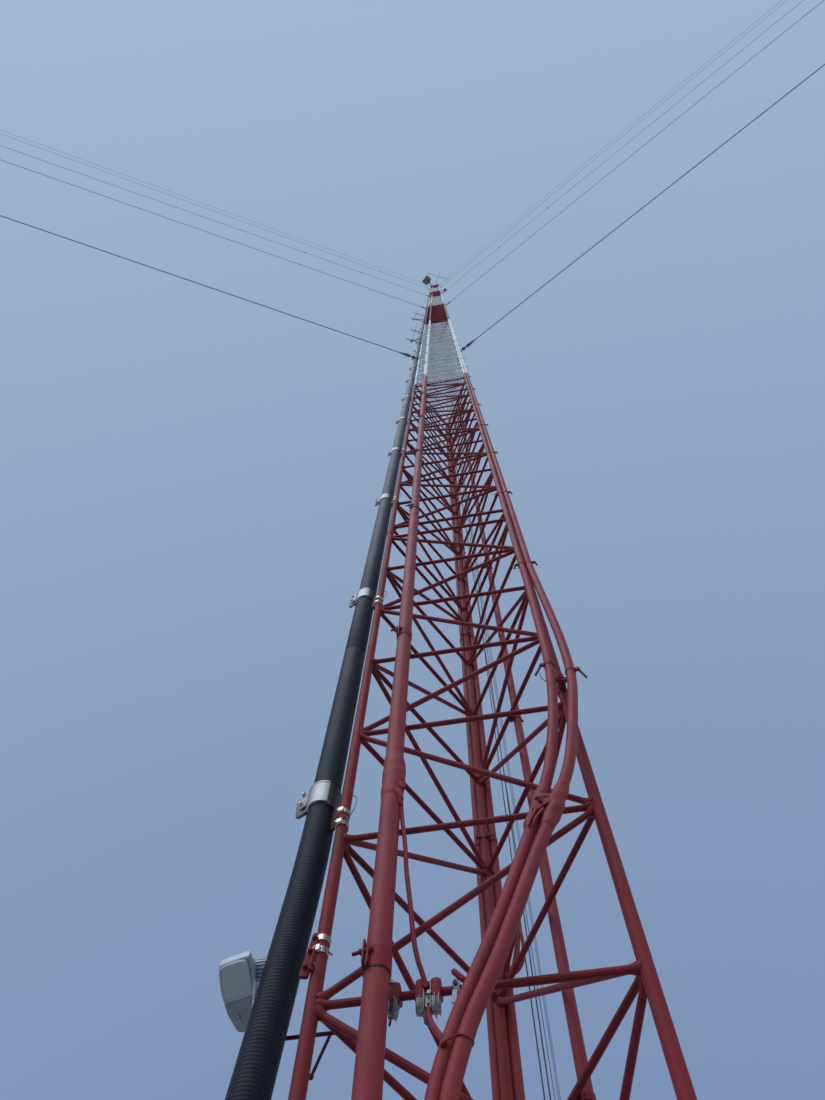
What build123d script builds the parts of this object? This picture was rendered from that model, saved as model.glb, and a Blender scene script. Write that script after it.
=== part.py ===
from build123d import *
import math
import os

# A guyed radio mast as a scale model, one tenth of full size. Millimetres, +Z up.
# The origin is the centre of the underside of the base plate. Legs stand at the corners of an
# equal-sided triangle: left and right legs in front (-Y), the rear leg at +Y.

os.makedirs("parts", exist_ok=True)

# Mast body
face_width = 61.0          # between leg centres, along one face
leg_diameter = 2.9
leg_sides = 12
brace_size = 1.6
section_count = 14
section_length = 610.0
section_gap = 18.0         # from the last horizontal of a section to the first of the next
bays_per_section = 12
base_thickness = 2.5
base_edge = 14.0           # from a leg's centre to the nearest straight edge of the base plate
base_corner_radius = 10.0
bolt_hole_diameter = 3.0
bolt_circle_radius = 21.0
seat = 0.1                 # running gap where a round piece sits beside another

# Thick black coaxial line beside the left leg
coax_diameter = 7.6
coax_offset_x = -7.0       # from the left leg's centre
coax_offset_y = 3.0
coax_start = 12.0
coax_top_margin = 160.0
coax_lean = 4.4            # lower down the line stands this much further out
coax_lean_levels = (4.84, 6.96)    # levels between which it leans
coax_bend_radius = 400.0
coax_sides = 24
coax_clamp_levels = (1, 4, 7, 10)
coax_clamp_rise = 20.7     # above the horizontal of that level
coax_clamp_sections = 4
coax_clamp_height = 8.8
coax_clamp_wall = 0.5
coax_ear_length = 3.2
coax_ear_thickness = 1.2
bracket_height = 16.0
bracket_drop = 9.0         # of the bracket's middle, under the clamp's middle
bracket_thickness = 1.4

# Feeder in front of the front face
feeder_diameter = 4.7
feeder_along = 13.7        # from the left leg's centre, along the front face
feeder_stand_off = 8.0     # from the front face's plane to the feeder's centre
feeder_start = 12.0
feeder_top_margin = 60.0
splice_diameter = 6.0
splice_length = 19.0
splice_rise = 50.5         # of the splice sleeve's bottom, above the horizontal with the grounding clamps
hanger_levels = (0, 3, 6, 9)
hanger_sections = 3
hanger_width = 2.0
hanger_height = 2.4
ring_wall = 0.5
ring_height = 4.0
ring_sides = 8

# Pair of feeders that cross over to the right leg; the levels count bays up from the first horizontal
pair_diameter = 2.5
pair_sides = 10
pair_stand_off = 8.0
pair_gap = 0.3
pair_start = 12.0
pair_lower_x = -8.0        # where the pair runs straight down, from the mast's centre line
pair_turn_level = 5.25
pair_splice_x = 18.5
pair_splice_level = 6.84
pair_spread = 5.9          # between the two feeders where they part around the right leg
pair_part_level = 8.3
pair_close_level = 9.2
pair_join_level = 10.4
yoke_level = 8.16
pair_bend_radius = 60.0
pair_top_margin = 420.0
pair_hanger_start = 0.1    # above the join, in bays
pair_hanger_pitch = 2.2    # in bays
pair_hanger_count = 12

# Feeders at the back
rear_feeder_diameter = 2.4
rear_feeder_places = ((-2.2, 2.4), (2.9, 1.2))    # from the rear leg's centre
rear_face_along = 32.4     # along the rear right face, from the right leg's centre
rear_feeder_start = 12.0
rear_feeder_top_margin = 900.0
rear_plate_thickness = 0.8

# Safety wires that run up beside the rear leg
wire_size = 0.7
wire_along = 8.2           # from the rear leg's centre to the nearer wire
wire_spacing = 1.3

# Grounding clamps on a front horizontal, and the lead between them and the splice
clamp_bay = 6
clamp_spans = ((-15.6, -13.2), (-10.9, -6.1), (-4.4, -0.4))     # along the horizontal, from its middle
lead_clamp = 1             # which clamp the lead passes
clamp_depth = 3.2
clamp_rise = 3.4
clamp_drop = 4.2
clamp_round = 0.5
lead_diameter = 1.0
lead_sides = 6
lead_bend_radius = 3.0
lead_tail_reach = 3.4      # of the lead's lower end, towards the pair
lead_tail_drop = 11.0      # of the lead's lower end, under the clamp
lead_tail_front = 5.0

# Small radio behind the coaxial line, on a post and an arm that lies on a horizontal of the left face
radio_width = 14.4
radio_height = 14.4
radio_depth = 4.4
radio_fillet = 5.4
radio_lip = 0.8
radio_neck_diameter = 3.6
radio_neck_rise = 4.4      # of the neck, above the housing's middle
radio_x = -48.65
radio_y = -9.5
radio_rise = 13.0          # of the housing's middle, above the arm
radio_post_x = -41.5
radio_arm_diameter = 1.4
radio_arm_beyond = 1.5     # of the arm's end, past the face
radio_bay = 6

# Side antennas on the left, each an upright rod held by two arms and a strut
rod_diameter = 1.6
rod_turn = 205.0           # of the arms about the left leg, from +X
rod_reaches = (20.0, 32.0)
rod_lengths = (560.0, 640.0)
rod_sections = (3.012, 4.16)       # heights of the rods' feet, in sections
rod_arm_spacing = 0.5      # between the arms, in rod lengths
rod_arm_beyond = 10.0
rod_arm_size = 1.2
rod_foot_diameter = 3.2
rod_foot_length = 9.0

# Warning light on the right leg
light_section = 9.83       # height of the light, in sections
light_reach = 34.0
light_diameter = 20.0
light_length = 22.0
light_sides = 16
light_shoulder = 4.0
light_rod_length = 620.0
light_arm_drop = 40.0      # of the upper arm, below the light
light_rod_diameter = 1.8

# Top of the mast
top_plate_thickness = 2.0
top_plate_edge = 4.0
top_post_diameter = 6.0
top_post_length = 104.0
dish_diameter = 76.0
dish_depth = 58.0
dish_cover_edge = 2.0
dish_hub_diameter = 30.0
dish_height = 37.0         # of its axis above the top plate
dish_reach = 100.0
dish_azimuth = -131.0
dish_hub_length = 6.0
dish_arm_diameter = 5.0
boom_length = 226.0
boom_size = 3.0
boom_azimuth = 26.0
boom_reach = 102.0
boom_height = 94.0         # above the top plate
boom_element_length = 82.0
boom_element_size = 1.6

# Stays. Each leg has five, the lower three to an inner anchor, the upper two to an outer one.
stay_sections = (2.53, 5.6, 8.34, 11.31, 13.77)    # heights on the mast, in sections
stay_diameter = 1.2
stay_sides = 6
inner_stays = 3
inner_anchor_radius = 4500.0
outer_anchor_radius = 6500.0
lug_length = 9.0
lug_height = 8.0
lug_thickness = 1.6
socket_diameter = 3.4
socket_length = 18.0
turnbuckle_diameter = 3.0
turnbuckle_length = 42.0
insulated_stays = (2, 3)
insulator_diameter = 4.0
insulator_length = 12.0
insulator_places = (520.0, 900.0)
anchor_plate_length = 34.0
anchor_plate_thickness = 3.0
anchor_plate_pitch = 12.0
anchor_shaft_diameter = 8.0
anchor_shaft_height = 40.0

# Worked out from the sizes above
bay = (section_length - section_gap) / bays_per_section
leg_radius = leg_diameter / 2
leg_circle = face_width / math.sqrt(3)
face_distance = leg_circle / 2
mast_top = base_thickness + section_count * section_length
clear_width = face_width - leg_diameter
legs = {
    "left": (-face_width / 2, -face_distance),
    "right": (face_width / 2, -face_distance),
    "rear": (0.0, leg_circle),
}
leg_turn = {"left": 210.0, "right": -30.0, "rear": 90.0}


def section_height(sections):
    return base_thickness + sections * section_length


stay_heights = [section_height(sections) for sections in stay_sections]
rod_heights = [section_height(sections) for sections in rod_sections]
light_height = section_height(light_section)


def save(name, shape):
    export_step(shape, f"parts/{name}.step")


def bay_height(section, level):
    """Height of a horizontal: levels 0 to bays_per_section in each section, and parts of a bay between them."""
    return base_thickness + section * section_length + section_gap / 2 + level * bay


def bar(start, end, size, sides=4):
    """A straight bar of few sides between two points; size is measured across its flats."""
    start = Vector(*start)
    end = Vector(*end)
    along = end - start
    corner = size / 2 / math.cos(math.pi / sides)
    plane = Plane(origin=start, z_dir=along)
    outline = plane * RegularPolygon(corner, sides, rotation=180 / sides)
    return extrude(outline, amount=along.length)


def rod(x, y, low, high, diameter):
    """An upright round rod."""
    return Pos(x, y, low) * Cylinder(diameter / 2, high - low, align=(Align.CENTER, Align.CENTER, Align.MIN))


def ring(x, y, z, inner_diameter, wall, height):
    """A band of few sides round an upright tube, just clear of it."""
    inside = (inner_diameter / 2 + seat) / math.cos(math.pi / ring_sides)
    outline = RegularPolygon(inside + wall, ring_sides) - RegularPolygon(inside, ring_sides)
    return Pos(x, y, z - height / 2) * extrude(outline, amount=height)


def tube_along(path, diameter, sides):
    """A bar of few sides swept along a path of straight runs and arcs."""
    plane = Plane(origin=path @ 0, z_dir=path % 0)
    return sweep(plane * RegularPolygon(diameter / 2, sides), path=path)


def block(x_low, x_high, y_low, y_high, z_low, z_high):
    size = (x_high - x_low, y_high - y_low, z_high - z_low)
    centre = ((x_high + x_low) / 2, (y_high + y_low) / 2, (z_high + z_low) / 2)
    return Pos(*centre) * Box(*size)


# Base plate: a triangle with rounded corners, bolt holes inside the legs
def base_plate():
    corner = leg_circle + base_edge * 2
    outline = RegularPolygon(corner, 3, rotation=90)
    outline = fillet(outline.vertices(), base_corner_radius)
    holes = PolarLocations(bolt_circle_radius, 6) * Circle(bolt_hole_diameter / 2)
    return extrude(outline - holes, amount=base_thickness)


# Legs: solid round bar, drawn with twelve sides, from the base plate to the top
def leg(name):
    x, y = legs[name]
    return bar((x, y, base_thickness), (x, y, mast_top), leg_diameter, leg_sides)


# Bracing: one welded panel per section and face, a zigzag with a horizontal at every level
def brace_panel():
    half = face_width / 2
    outline = Sketch()
    for level in range(bays_per_section + 1):
        outline += Pos(0, level * bay) * Rectangle(face_width, brace_size)
    slope = math.degrees(math.atan2(bay, face_width))
    length = math.hypot(bay, face_width)
    for level in range(bays_per_section):
        turn = slope if level % 2 == 0 else -slope
        outline += Pos(0, (level + 0.5) * bay) * Rot(0, 0, turn) * Rectangle(length, brace_size)
    clip = Pos(0, bays_per_section * bay / 2) * Rectangle(clear_width, bays_per_section * bay + brace_size)
    outline = outline & clip
    panel = extrude(Plane.XZ * outline, amount=brace_size / 2, both=True)
    return Pos(0, -face_distance, 0) * panel


def bracing(turn):
    panel = Rot(0, 0, turn) * brace_panel()
    return Compound(children=[Pos(0, 0, bay_height(section, 0)) * panel for section in range(section_count)])


# Black coaxial line, with a bracket and a clamp at each fixing
coax_x = legs["left"][0] + coax_offset_x
coax_y = legs["left"][1] + coax_offset_y


def coax_lean_at(z):
    """How far the line stands out at a clamp, which is below or above the leaning stretch."""
    return coax_lean if z < bay_height(0, coax_lean_levels[0]) else 0.0


def black_coax():
    low, high = (bay_height(0, level) for level in coax_lean_levels)
    points = [
        (coax_x - coax_lean, coax_y, coax_start),
        (coax_x - coax_lean, coax_y, low),
        (coax_x, coax_y, high),
        (coax_x, coax_y, mast_top - coax_top_margin),
    ]
    return tube_along(FilletPolyline(*points, radius=coax_bend_radius), coax_diameter, coax_sides)


def coax_bracket(z):
    """Plate from the leg to the line, with the clamp band and its ears in one piece."""
    x, y = legs["left"]
    away = coax_offset_x - coax_lean_at(z)
    reach = math.hypot(away, coax_offset_y)
    low = leg_radius + seat
    inside = coax_diameter / 2 + seat
    high = reach - inside - coax_clamp_wall / 2
    plate = block(low, high, -bracket_thickness / 2, bracket_thickness / 2, -bracket_drop - bracket_height / 2,
                  -bracket_drop + bracket_height / 2)
    band = ring(reach, 0, 0, coax_diameter, coax_clamp_wall, coax_clamp_height)
    ear = block(reach + inside, reach + inside + coax_ear_length, -coax_ear_thickness, coax_ear_thickness,
                -coax_clamp_height / 2, coax_clamp_height / 2)
    turn = math.degrees(math.atan2(coax_offset_y, away))
    return Pos(x, y, z) * Rot(0, 0, turn) * (plate + band + ear)


coax_clamp_heights = [
    bay_height(section, level) + coax_clamp_rise
    for section in range(coax_clamp_sections)
    for level in coax_clamp_levels
]


def coax_clamps():
    return Compound(children=[coax_bracket(z) for z in coax_clamp_heights])


# Feeder in front of the front face
feeder_x = legs["left"][0] + feeder_along
feeder_y = -face_distance - feeder_stand_off
hanger_heights = [
    bay_height(section, level) for section in range(hanger_sections) for level in hanger_levels
]


def front_hanger(x, diameter, stand_off, z):
    """Ring round a feeder, with a block back to the horizontal behind it."""
    centre = -face_distance - stand_off
    inside = diameter / 2 + seat
    front = centre + inside + ring_wall / 2
    back = -face_distance - brace_size / 2
    arm = block(x - hanger_width / 2, x + hanger_width / 2, front, back, z - hanger_height / 2, z + hanger_height / 2)
    return ring(x, centre, z, diameter, ring_wall, ring_height) + arm


def front_hangers():
    return Compound(children=[
        front_hanger(feeder_x, feeder_diameter, feeder_stand_off, z) for z in hanger_heights
    ])


splice_height = bay_height(0, clamp_bay) + splice_rise


def splice_sleeve():
    sleeve = rod(feeder_x, feeder_y, splice_height, splice_height + splice_length, splice_diameter)
    return sleeve - rod(feeder_x, feeder_y, splice_height, splice_height + splice_length, feeder_diameter + 2 * seat)


# Pair of feeders: up beside the front feeder, across to the right leg, apart, then up in front of the leg
pair_y = -face_distance - pair_stand_off
pair_pitch = pair_diameter + pair_gap
pair_leg_y = legs["right"][1] - leg_radius - pair_diameter / 2 - brace_size


def pair_path(side):
    """Side is -1 for the inner feeder and 1 for the outer one."""
    half = side * pair_pitch / 2
    right = legs["right"][0]
    lower = pair_lower_x + half
    join = right + half
    spread = right + side * pair_spread / 2
    points = [
        (lower, pair_y, pair_start),
        (lower, pair_y, bay_height(0, pair_turn_level)),
        (pair_splice_x + half, pair_y, bay_height(0, pair_splice_level)),
        (spread, pair_y, bay_height(0, pair_part_level)),
        (spread, pair_y, bay_height(0, pair_close_level)),
        (join, pair_leg_y, bay_height(0, pair_join_level)),
        (join, pair_leg_y, mast_top - pair_top_margin),
    ]
    return FilletPolyline(*points, radius=pair_bend_radius)


def pair_feeder(side):
    return tube_along(pair_path(side), pair_diameter, pair_sides)


def pair_hanger(z):
    """Saddle behind the two feeders, against the right leg."""
    x, y = legs["right"]
    front = pair_leg_y + pair_diameter / 2 + seat
    width = pair_pitch + pair_diameter
    back = y - leg_radius - seat
    return block(x - width / 2, x + width / 2, front, back, z - hanger_height / 2, z + hanger_height / 2)


def pair_yoke():
    """Bar across the right leg, behind the two feeders where they stand apart."""
    x, y = legs["right"]
    half = pair_spread / 2 + pair_diameter
    front = pair_y + pair_diameter / 2 + seat
    back = y - leg_radius - seat
    z = bay_height(0, yoke_level)
    return block(x - half, x + half, front, back, z - hanger_height / 2, z + hanger_height / 2)


def pair_hangers():
    levels = [pair_join_level + pair_hanger_start + pair_hanger_pitch * index for index in range(pair_hanger_count)]
    return Compound(children=[pair_yoke()] + [pair_hanger(bay_height(0, level)) for level in levels])


# Rear feeders: two behind the rear leg, one on the rear right face
strap_y = leg_circle + max(y for x, y in rear_feeder_places) + rear_feeder_diameter / 2 + seat


def rear_leg_feeder(place):
    x, y = legs["rear"]
    return rod(x + place[0], y + place[1], rear_feeder_start, mast_top - rear_feeder_top_margin, rear_feeder_diameter)


def rear_face_place():
    """Centre of the feeder on the rear right face, outside the bracing."""
    right = Vector(*legs["right"])
    rear = Vector(*legs["rear"])
    along = (rear - right).normalized()
    out = Vector(math.cos(math.radians(30)), math.sin(math.radians(30)))
    stand_off = brace_size / 2 + rear_plate_thickness + rear_feeder_diameter / 2 + seat
    place = right + along * rear_face_along + out * stand_off
    return place.X, place.Y


def rear_face_feeder():
    x, y = rear_face_place()
    return rod(x, y, rear_feeder_start, mast_top - rear_feeder_top_margin, rear_feeder_diameter)


def rear_hanger(z):
    """Plate between the rear face feeder and the horizontal that carries it."""
    x, y = rear_face_place()
    out = Vector(math.cos(math.radians(30)), math.sin(math.radians(30)))
    centre = Vector(x, y) - out * (rear_feeder_diameter / 2 + seat + rear_plate_thickness / 2)
    plate = Box(rear_plate_thickness, rear_feeder_diameter, hanger_height)
    return Pos(centre.X, centre.Y, z) * Rot(0, 0, 30) * plate


def rear_leg_hanger(z):
    """Flat strap behind the two feeders at the rear leg and the two wires."""
    left = min(x for x, y in rear_feeder_places) - rear_feeder_diameter / 2
    right = wire_along + wire_spacing + wire_size
    return block(left, right, strap_y, strap_y + rear_plate_thickness, z - hanger_height / 2, z + hanger_height / 2)


def rear_hangers():
    plates = []
    for z in hanger_heights:
        plates.append(rear_hanger(z))
        plates.append(rear_leg_hanger(z))
    return Compound(children=plates)


# Two thin wires that run up beside the rear leg, on the straps behind it
def safety_wire(index):
    x = wire_along + index * wire_spacing
    y = strap_y - seat - wire_size / 2
    return bar((x, y, rear_feeder_start), (x, y, mast_top - rear_feeder_top_margin), wire_size)


# Grounding clamps on a front horizontal, with the lead up to the splice sleeve
def ground_clamp(low_x, high_x):
    z = bay_height(0, clamp_bay)
    shell = block(low_x, high_x, -face_distance - clamp_depth / 2, -face_distance + clamp_depth / 2,
                  z - clamp_drop, z + clamp_rise)
    slot = block(low_x, high_x, -face_distance - brace_size / 2 - seat, -face_distance + brace_size / 2 + seat,
                 z - brace_size / 2 - seat, z + brace_size / 2 + seat)
    shell = fillet(shell.edges().filter_by(Axis.X), clamp_round)
    return shell - slot


def ground_clamps():
    return Compound(children=[ground_clamp(*span) for span in clamp_spans])


def ground_lead():
    """From beside the splice sleeve, down past the front of a clamp and forward to the pair."""
    x = sum(clamp_spans[lead_clamp]) / 2
    y = -face_distance - clamp_depth / 2 - lead_diameter / 2 - seat
    z = bay_height(0, clamp_bay)
    top_x = feeder_x + splice_diameter / 2 + lead_diameter / 2 + seat
    points = [
        (x + lead_tail_reach, y - lead_tail_front, z - clamp_drop - lead_tail_drop),
        (x, y, z - clamp_drop),
        (x, y, z + clamp_rise),
        (top_x, feeder_y, splice_height),
        (top_x, feeder_y, splice_height + splice_length / 2),
    ]
    return tube_along(FilletPolyline(*points, radius=lead_bend_radius), lead_diameter, lead_sides)


# Small radio: a rounded housing with a neck that reaches the post
radio_arm_z = bay_height(0, radio_bay) + (brace_size + radio_arm_diameter) / 2 + seat
radio_z = radio_arm_z + radio_rise


def radio_unit():
    housing = Box(radio_depth, radio_width, radio_height)
    housing = fillet(housing.edges().filter_by(Axis.X), radio_fillet)
    housing = chamfer(housing.faces().sort_by(Axis.X)[0].edges(), radio_lip)
    start = radio_depth / 2
    end = radio_post_x - radio_arm_diameter / 2 - seat - radio_x
    neck = bar((start, 0, radio_neck_rise), (end, 0, radio_neck_rise), radio_neck_diameter, leg_sides)
    return Pos(radio_x, radio_y, radio_z) * (housing + neck)


def radio_arm():
    """Arm on the left face's horizontal, with the post that carries the radio at its end."""
    turn = math.radians(30)
    face_x = (math.sin(turn) * radio_y - face_distance) / math.cos(turn)
    arm = bar((radio_post_x, radio_y, radio_arm_z), (face_x + radio_arm_beyond, radio_y, radio_arm_z),
              radio_arm_diameter, 6)
    top = radio_z + radio_neck_rise + radio_neck_diameter / 2
    return arm + rod(radio_post_x, radio_y, radio_arm_z - radio_arm_diameter / 2, top, radio_arm_diameter)


# Side antennas, drawn along +X from the left leg's centre and then turned
def from_left_leg(shape):
    x, y = legs["left"]
    return Pos(x, y, 0) * Rot(0, 0, rod_turn) * shape


def side_rod(index):
    z = rod_heights[index]
    reach = rod_reaches[index]
    foot = rod(reach, 0, z - rod_foot_length, z, rod_foot_diameter)
    return from_left_leg(foot + rod(reach, 0, z, z + rod_lengths[index], rod_diameter))


def side_bracket(index):
    """Two arms beside the rod, each with a band round the leg, a plate and a strut."""
    z = rod_heights[index]
    reach = rod_reaches[index]
    near = leg_radius + seat
    low = z - rod_foot_length / 2
    high = z + rod_arm_spacing * rod_lengths[index]
    bands = ring(0, 0, low, leg_diameter, ring_wall, 2 * rod_arm_size)
    bands += ring(0, 0, high, leg_diameter, ring_wall, 2 * rod_arm_size)
    side = (rod_foot_diameter + rod_arm_size) / 2 + seat
    far = reach + rod_arm_beyond
    plate = block(near + ring_wall, near + ring_wall + rod_arm_size, -rod_arm_size / 2, side + rod_arm_size / 2,
                  low, high)
    lower = bar((near, side, low), (far, side, low), rod_arm_size)
    upper_side = (rod_diameter + rod_arm_size) / 2 + seat
    upper = bar((near, upper_side, high), (far, upper_side, high), rod_arm_size)
    strut_top = (near + ring_wall + rod_arm_size / 2, side, low + (high - low) / 3)
    strut = bar(strut_top, (reach, side, low), rod_arm_size)
    return from_left_leg(bands + plate + lower + upper + strut)


# Warning light on an arm from the right leg, with an upright rod under it
def light_place():
    x, y = legs["right"]
    return x + light_reach, y


def light_bracket():
    x, y = light_place()
    end = legs["right"][0] + leg_radius + seat
    upright = rod(x, y, light_height - light_rod_length, light_height, light_rod_diameter)
    pieces = [upright]
    for z in (light_height - light_rod_length / 2, light_height - light_arm_drop):
        pieces.append(bar((end, y, z), (x, y, z), light_rod_diameter))
    frame = pieces[0]
    for piece in pieces[1:]:
        frame += piece
    return frame


def warning_light():
    x, y = light_place()
    drum = bar((x, y, light_height), (x, y, light_height + light_length), light_diameter, light_sides)
    return chamfer(drum.faces().sort_by(Axis.Z)[-1].edges(), light_shoulder)


# Top of the mast
top_level = mast_top + top_plate_thickness


def top_plate():
    corner = leg_circle + leg_radius * 2 + top_plate_edge * 2
    outline = fillet(RegularPolygon(corner, 3, rotation=90).vertices(), top_plate_edge)
    plate = Pos(0, 0, mast_top) * extrude(outline, amount=top_plate_thickness)
    return plate + rod(0, 0, top_level, top_level + top_post_length, top_post_diameter)


def dish():
    """Shrouded dish, drawn along +X and then turned: a drum closed by its cover, with a hub behind it."""
    drum = Rot(0, 90, 0) * Cylinder(dish_diameter / 2, dish_depth)
    drum = chamfer(drum.faces().sort_by(Axis.X)[-1].edges(), dish_cover_edge)
    hub = Pos(-(dish_depth + dish_hub_length) / 2, 0, 0) * Rot(0, 90, 0)
    shell = drum + hub * Cylinder(dish_hub_diameter / 2, dish_hub_length)
    return Pos(0, 0, top_level + dish_height) * Rot(0, 0, dish_azimuth) * Pos(dish_reach, 0, 0) * shell


def dish_mount():
    start = top_post_diameter / 2 + seat
    end = dish_reach - dish_depth / 2 - dish_hub_length
    z = top_level + dish_height
    return Rot(0, 0, dish_azimuth) * bar((start, 0, z), (end, 0, z), dish_arm_diameter, 6)


def top_boom():
    """Boom of a beam antenna on an arm from the top post, with a cross element at its middle."""
    start = top_post_diameter / 2 + seat
    arm = block(start, boom_reach, -boom_size / 2, boom_size / 2, -boom_size / 2, boom_size / 2)
    boom = Pos(boom_reach, 0, 0) * Box(boom_size, boom_length, boom_size)
    element = Pos(boom_reach, 0, 0) * Box(boom_element_length, boom_element_size, boom_element_size)
    return Pos(0, 0, top_level + boom_height) * Rot(0, 0, boom_azimuth - 90) * (arm + boom + element)


# Stays, drawn in the plane of +X and +Z and then turned to each leg
def anchor_radius(index):
    return inner_anchor_radius if index < inner_stays else outer_anchor_radius


def stay_place(index):
    """Number of a stay at its own anchor, counted from the lowest."""
    return index if index < inner_stays else index - inner_stays


def stay_ends(index):
    """The end faces stand square to the stay, so each stands clear of its plate by its own slope."""
    low = anchor_shaft_height + anchor_plate_pitch * stay_place(index)
    inner = leg_circle + leg_radius + lug_length
    outer = anchor_radius(index) - anchor_plate_length / 2
    fall = stay_heights[index] - low
    lean = fall / math.hypot(fall, outer - inner)
    corner = 1 / 2 / math.cos(math.pi / stay_sides)
    start = Vector(inner + seat + socket_diameter * corner * lean, 0, stay_heights[index])
    end = Vector(outer - seat - turnbuckle_diameter * corner * lean, 0, low)
    return start, end


def stay(index):
    start, end = stay_ends(index)
    along = (end - start).normalized()
    whole = bar(start, end, stay_diameter, stay_sides)
    whole += bar(start, start + along * socket_length, socket_diameter, stay_sides)
    whole += bar(end - along * turnbuckle_length, end, turnbuckle_diameter, stay_sides)
    if index in insulated_stays:
        for place in insulator_places:
            low = start + along * place
            whole += bar(low, low + along * insulator_length, insulator_diameter, stay_sides)
    return whole


def lug(index):
    """Plate on the leg that a stay hooks to."""
    low = leg_circle + leg_radius
    return block(low, low + lug_length, -lug_thickness / 2, lug_thickness / 2,
                 stay_heights[index] - lug_height / 2, stay_heights[index] + lug_height / 2)


def guy_lugs():
    pieces = []
    for name in legs:
        for index in range(len(stay_heights)):
            pieces.append(Rot(0, 0, leg_turn[name]) * lug(index))
    return Compound(children=pieces)


def anchor(radius, count):
    """Plate that the stays pull on, on a shaft that goes into the ground."""
    top = anchor_shaft_height + anchor_plate_pitch * count
    half = anchor_plate_length / 2
    plate = block(radius - half, radius + half, -anchor_plate_thickness / 2, anchor_plate_thickness / 2,
                  anchor_shaft_height / 2, top)
    return plate + rod(radius, 0, 0, anchor_shaft_height / 2, anchor_shaft_diameter)


save("base_plate", base_plate())
for name in legs:
    save(f"{name}_leg", leg(name))
for index, name in enumerate(("front", "right", "left")):
    save(f"{name}_bracing", bracing(360 / len(legs) * index))

save("black_coax", black_coax())
save("coax_clamps", coax_clamps())
save("front_feeder", rod(feeder_x, feeder_y, feeder_start, mast_top - feeder_top_margin, feeder_diameter))
save("splice_sleeve", splice_sleeve())
save("front_hangers", front_hangers())
save("inner_feeder", pair_feeder(-1))
save("outer_feeder", pair_feeder(1))
save("pair_hangers", pair_hangers())
save("rear_leg_feeders", Compound(children=[rear_leg_feeder(place) for place in rear_feeder_places]))
save("rear_face_feeder", rear_face_feeder())
save("rear_hangers", rear_hangers())
save("safety_wires", Compound(children=[safety_wire(0), safety_wire(1)]))
save("ground_clamps", ground_clamps())
save("ground_lead", ground_lead())
save("radio_unit", radio_unit())
save("radio_arm", radio_arm())
save("side_antennas", Compound(children=[side_rod(index) for index in range(len(rod_heights))]))
save("antenna_brackets", Compound(children=[side_bracket(index) for index in range(len(rod_heights))]))
save("light_bracket", light_bracket())
save("warning_light", warning_light())
save("top_plate", top_plate())
save("dish", dish())
save("dish_mount", dish_mount())
save("top_boom", top_boom())
save("guy_lugs", guy_lugs())
for name in legs:
    for index in range(len(stay_heights)):
        save(f"{name}_stay_{index + 1}", Rot(0, 0, leg_turn[name]) * stay(index))
    for place, radius, count in (
        ("inner", inner_anchor_radius, inner_stays),
        ("outer", outer_anchor_radius, len(stay_heights) - inner_stays),
    ):
        save(f"{name}_{place}_anchor", Rot(0, 0, leg_turn[name]) * anchor(radius, count))
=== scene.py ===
# %% [markdown]
# A guyed lattice radio mast, seen from beside its foot, looking steeply up.
# The solids of the mast are already made and packed, so this notebook loads them as a fixed frame.
# Every piece made here sits on that frame, in the same metres, and replaces a plain solid or adds to one.

# %% Load the frame
import math

import bpy
import numpy as np
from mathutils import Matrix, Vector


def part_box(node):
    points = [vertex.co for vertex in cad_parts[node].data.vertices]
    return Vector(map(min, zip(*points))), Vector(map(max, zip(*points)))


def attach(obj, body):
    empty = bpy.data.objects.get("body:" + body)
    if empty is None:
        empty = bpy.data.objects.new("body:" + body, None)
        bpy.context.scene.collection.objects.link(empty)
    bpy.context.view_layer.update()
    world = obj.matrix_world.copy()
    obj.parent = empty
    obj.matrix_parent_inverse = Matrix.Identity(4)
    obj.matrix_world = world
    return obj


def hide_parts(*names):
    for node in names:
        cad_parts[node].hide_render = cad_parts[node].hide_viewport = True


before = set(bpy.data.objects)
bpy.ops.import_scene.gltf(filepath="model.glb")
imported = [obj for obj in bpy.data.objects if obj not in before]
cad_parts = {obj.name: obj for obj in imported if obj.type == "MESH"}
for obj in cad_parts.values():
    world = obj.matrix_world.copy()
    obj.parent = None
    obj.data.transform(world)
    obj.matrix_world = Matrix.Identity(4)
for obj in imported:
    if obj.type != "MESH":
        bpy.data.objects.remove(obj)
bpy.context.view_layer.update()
MM = 0.001

# %% [markdown]
# The picture was taken close to the foot with a phone held up, so the mast runs away to a point near the top
# of the frame. A camera in Blender looks along its own -Z, and a turn of just over 162 degrees about X tips
# it from looking down to looking steeply up. Its lens is given as the distance, in pixels, at which one pixel
# is one unit wide.

# %% Camera
CAMERA_PLACE = (0.01222, -0.14058, 0.18072)
CAMERA_TURN = (162.336, -1.341, 9.720)
PICTURE_HEIGHT = 1100
FOCAL_PIXELS = 874.42

lens = bpy.data.cameras.new("camera")
lens.sensor_fit = "VERTICAL"
lens.lens = lens.sensor_height * FOCAL_PIXELS / PICTURE_HEIGHT
lens.clip_start, lens.clip_end = 0.005, 200.0
camera = bpy.data.objects.new("camera", lens)
camera.location = CAMERA_PLACE
camera.rotation_euler = [math.radians(angle) for angle in CAMERA_TURN]
bpy.context.collection.objects.link(camera)
bpy.context.scene.camera = camera
bpy.context.scene.view_settings.view_transform = "Standard"
print("lens", round(lens.lens, 2), "mm")

# %% [markdown]
# A shader is a tree of nodes whose outputs feed other nodes' inputs. These few helpers make a node, set it up
# and connect it in one line: an input is given as a socket, which is linked, or as a value, which is kept.

# %% Node tools
def feed(tree, node, inputs):
    """Give a node its inputs, each a socket or a value."""
    for label, value in inputs.items():
        if isinstance(value, bpy.types.NodeSocket):
            tree.links.new(value, node.inputs[label])
        else:
            node.inputs[label].default_value = value


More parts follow.
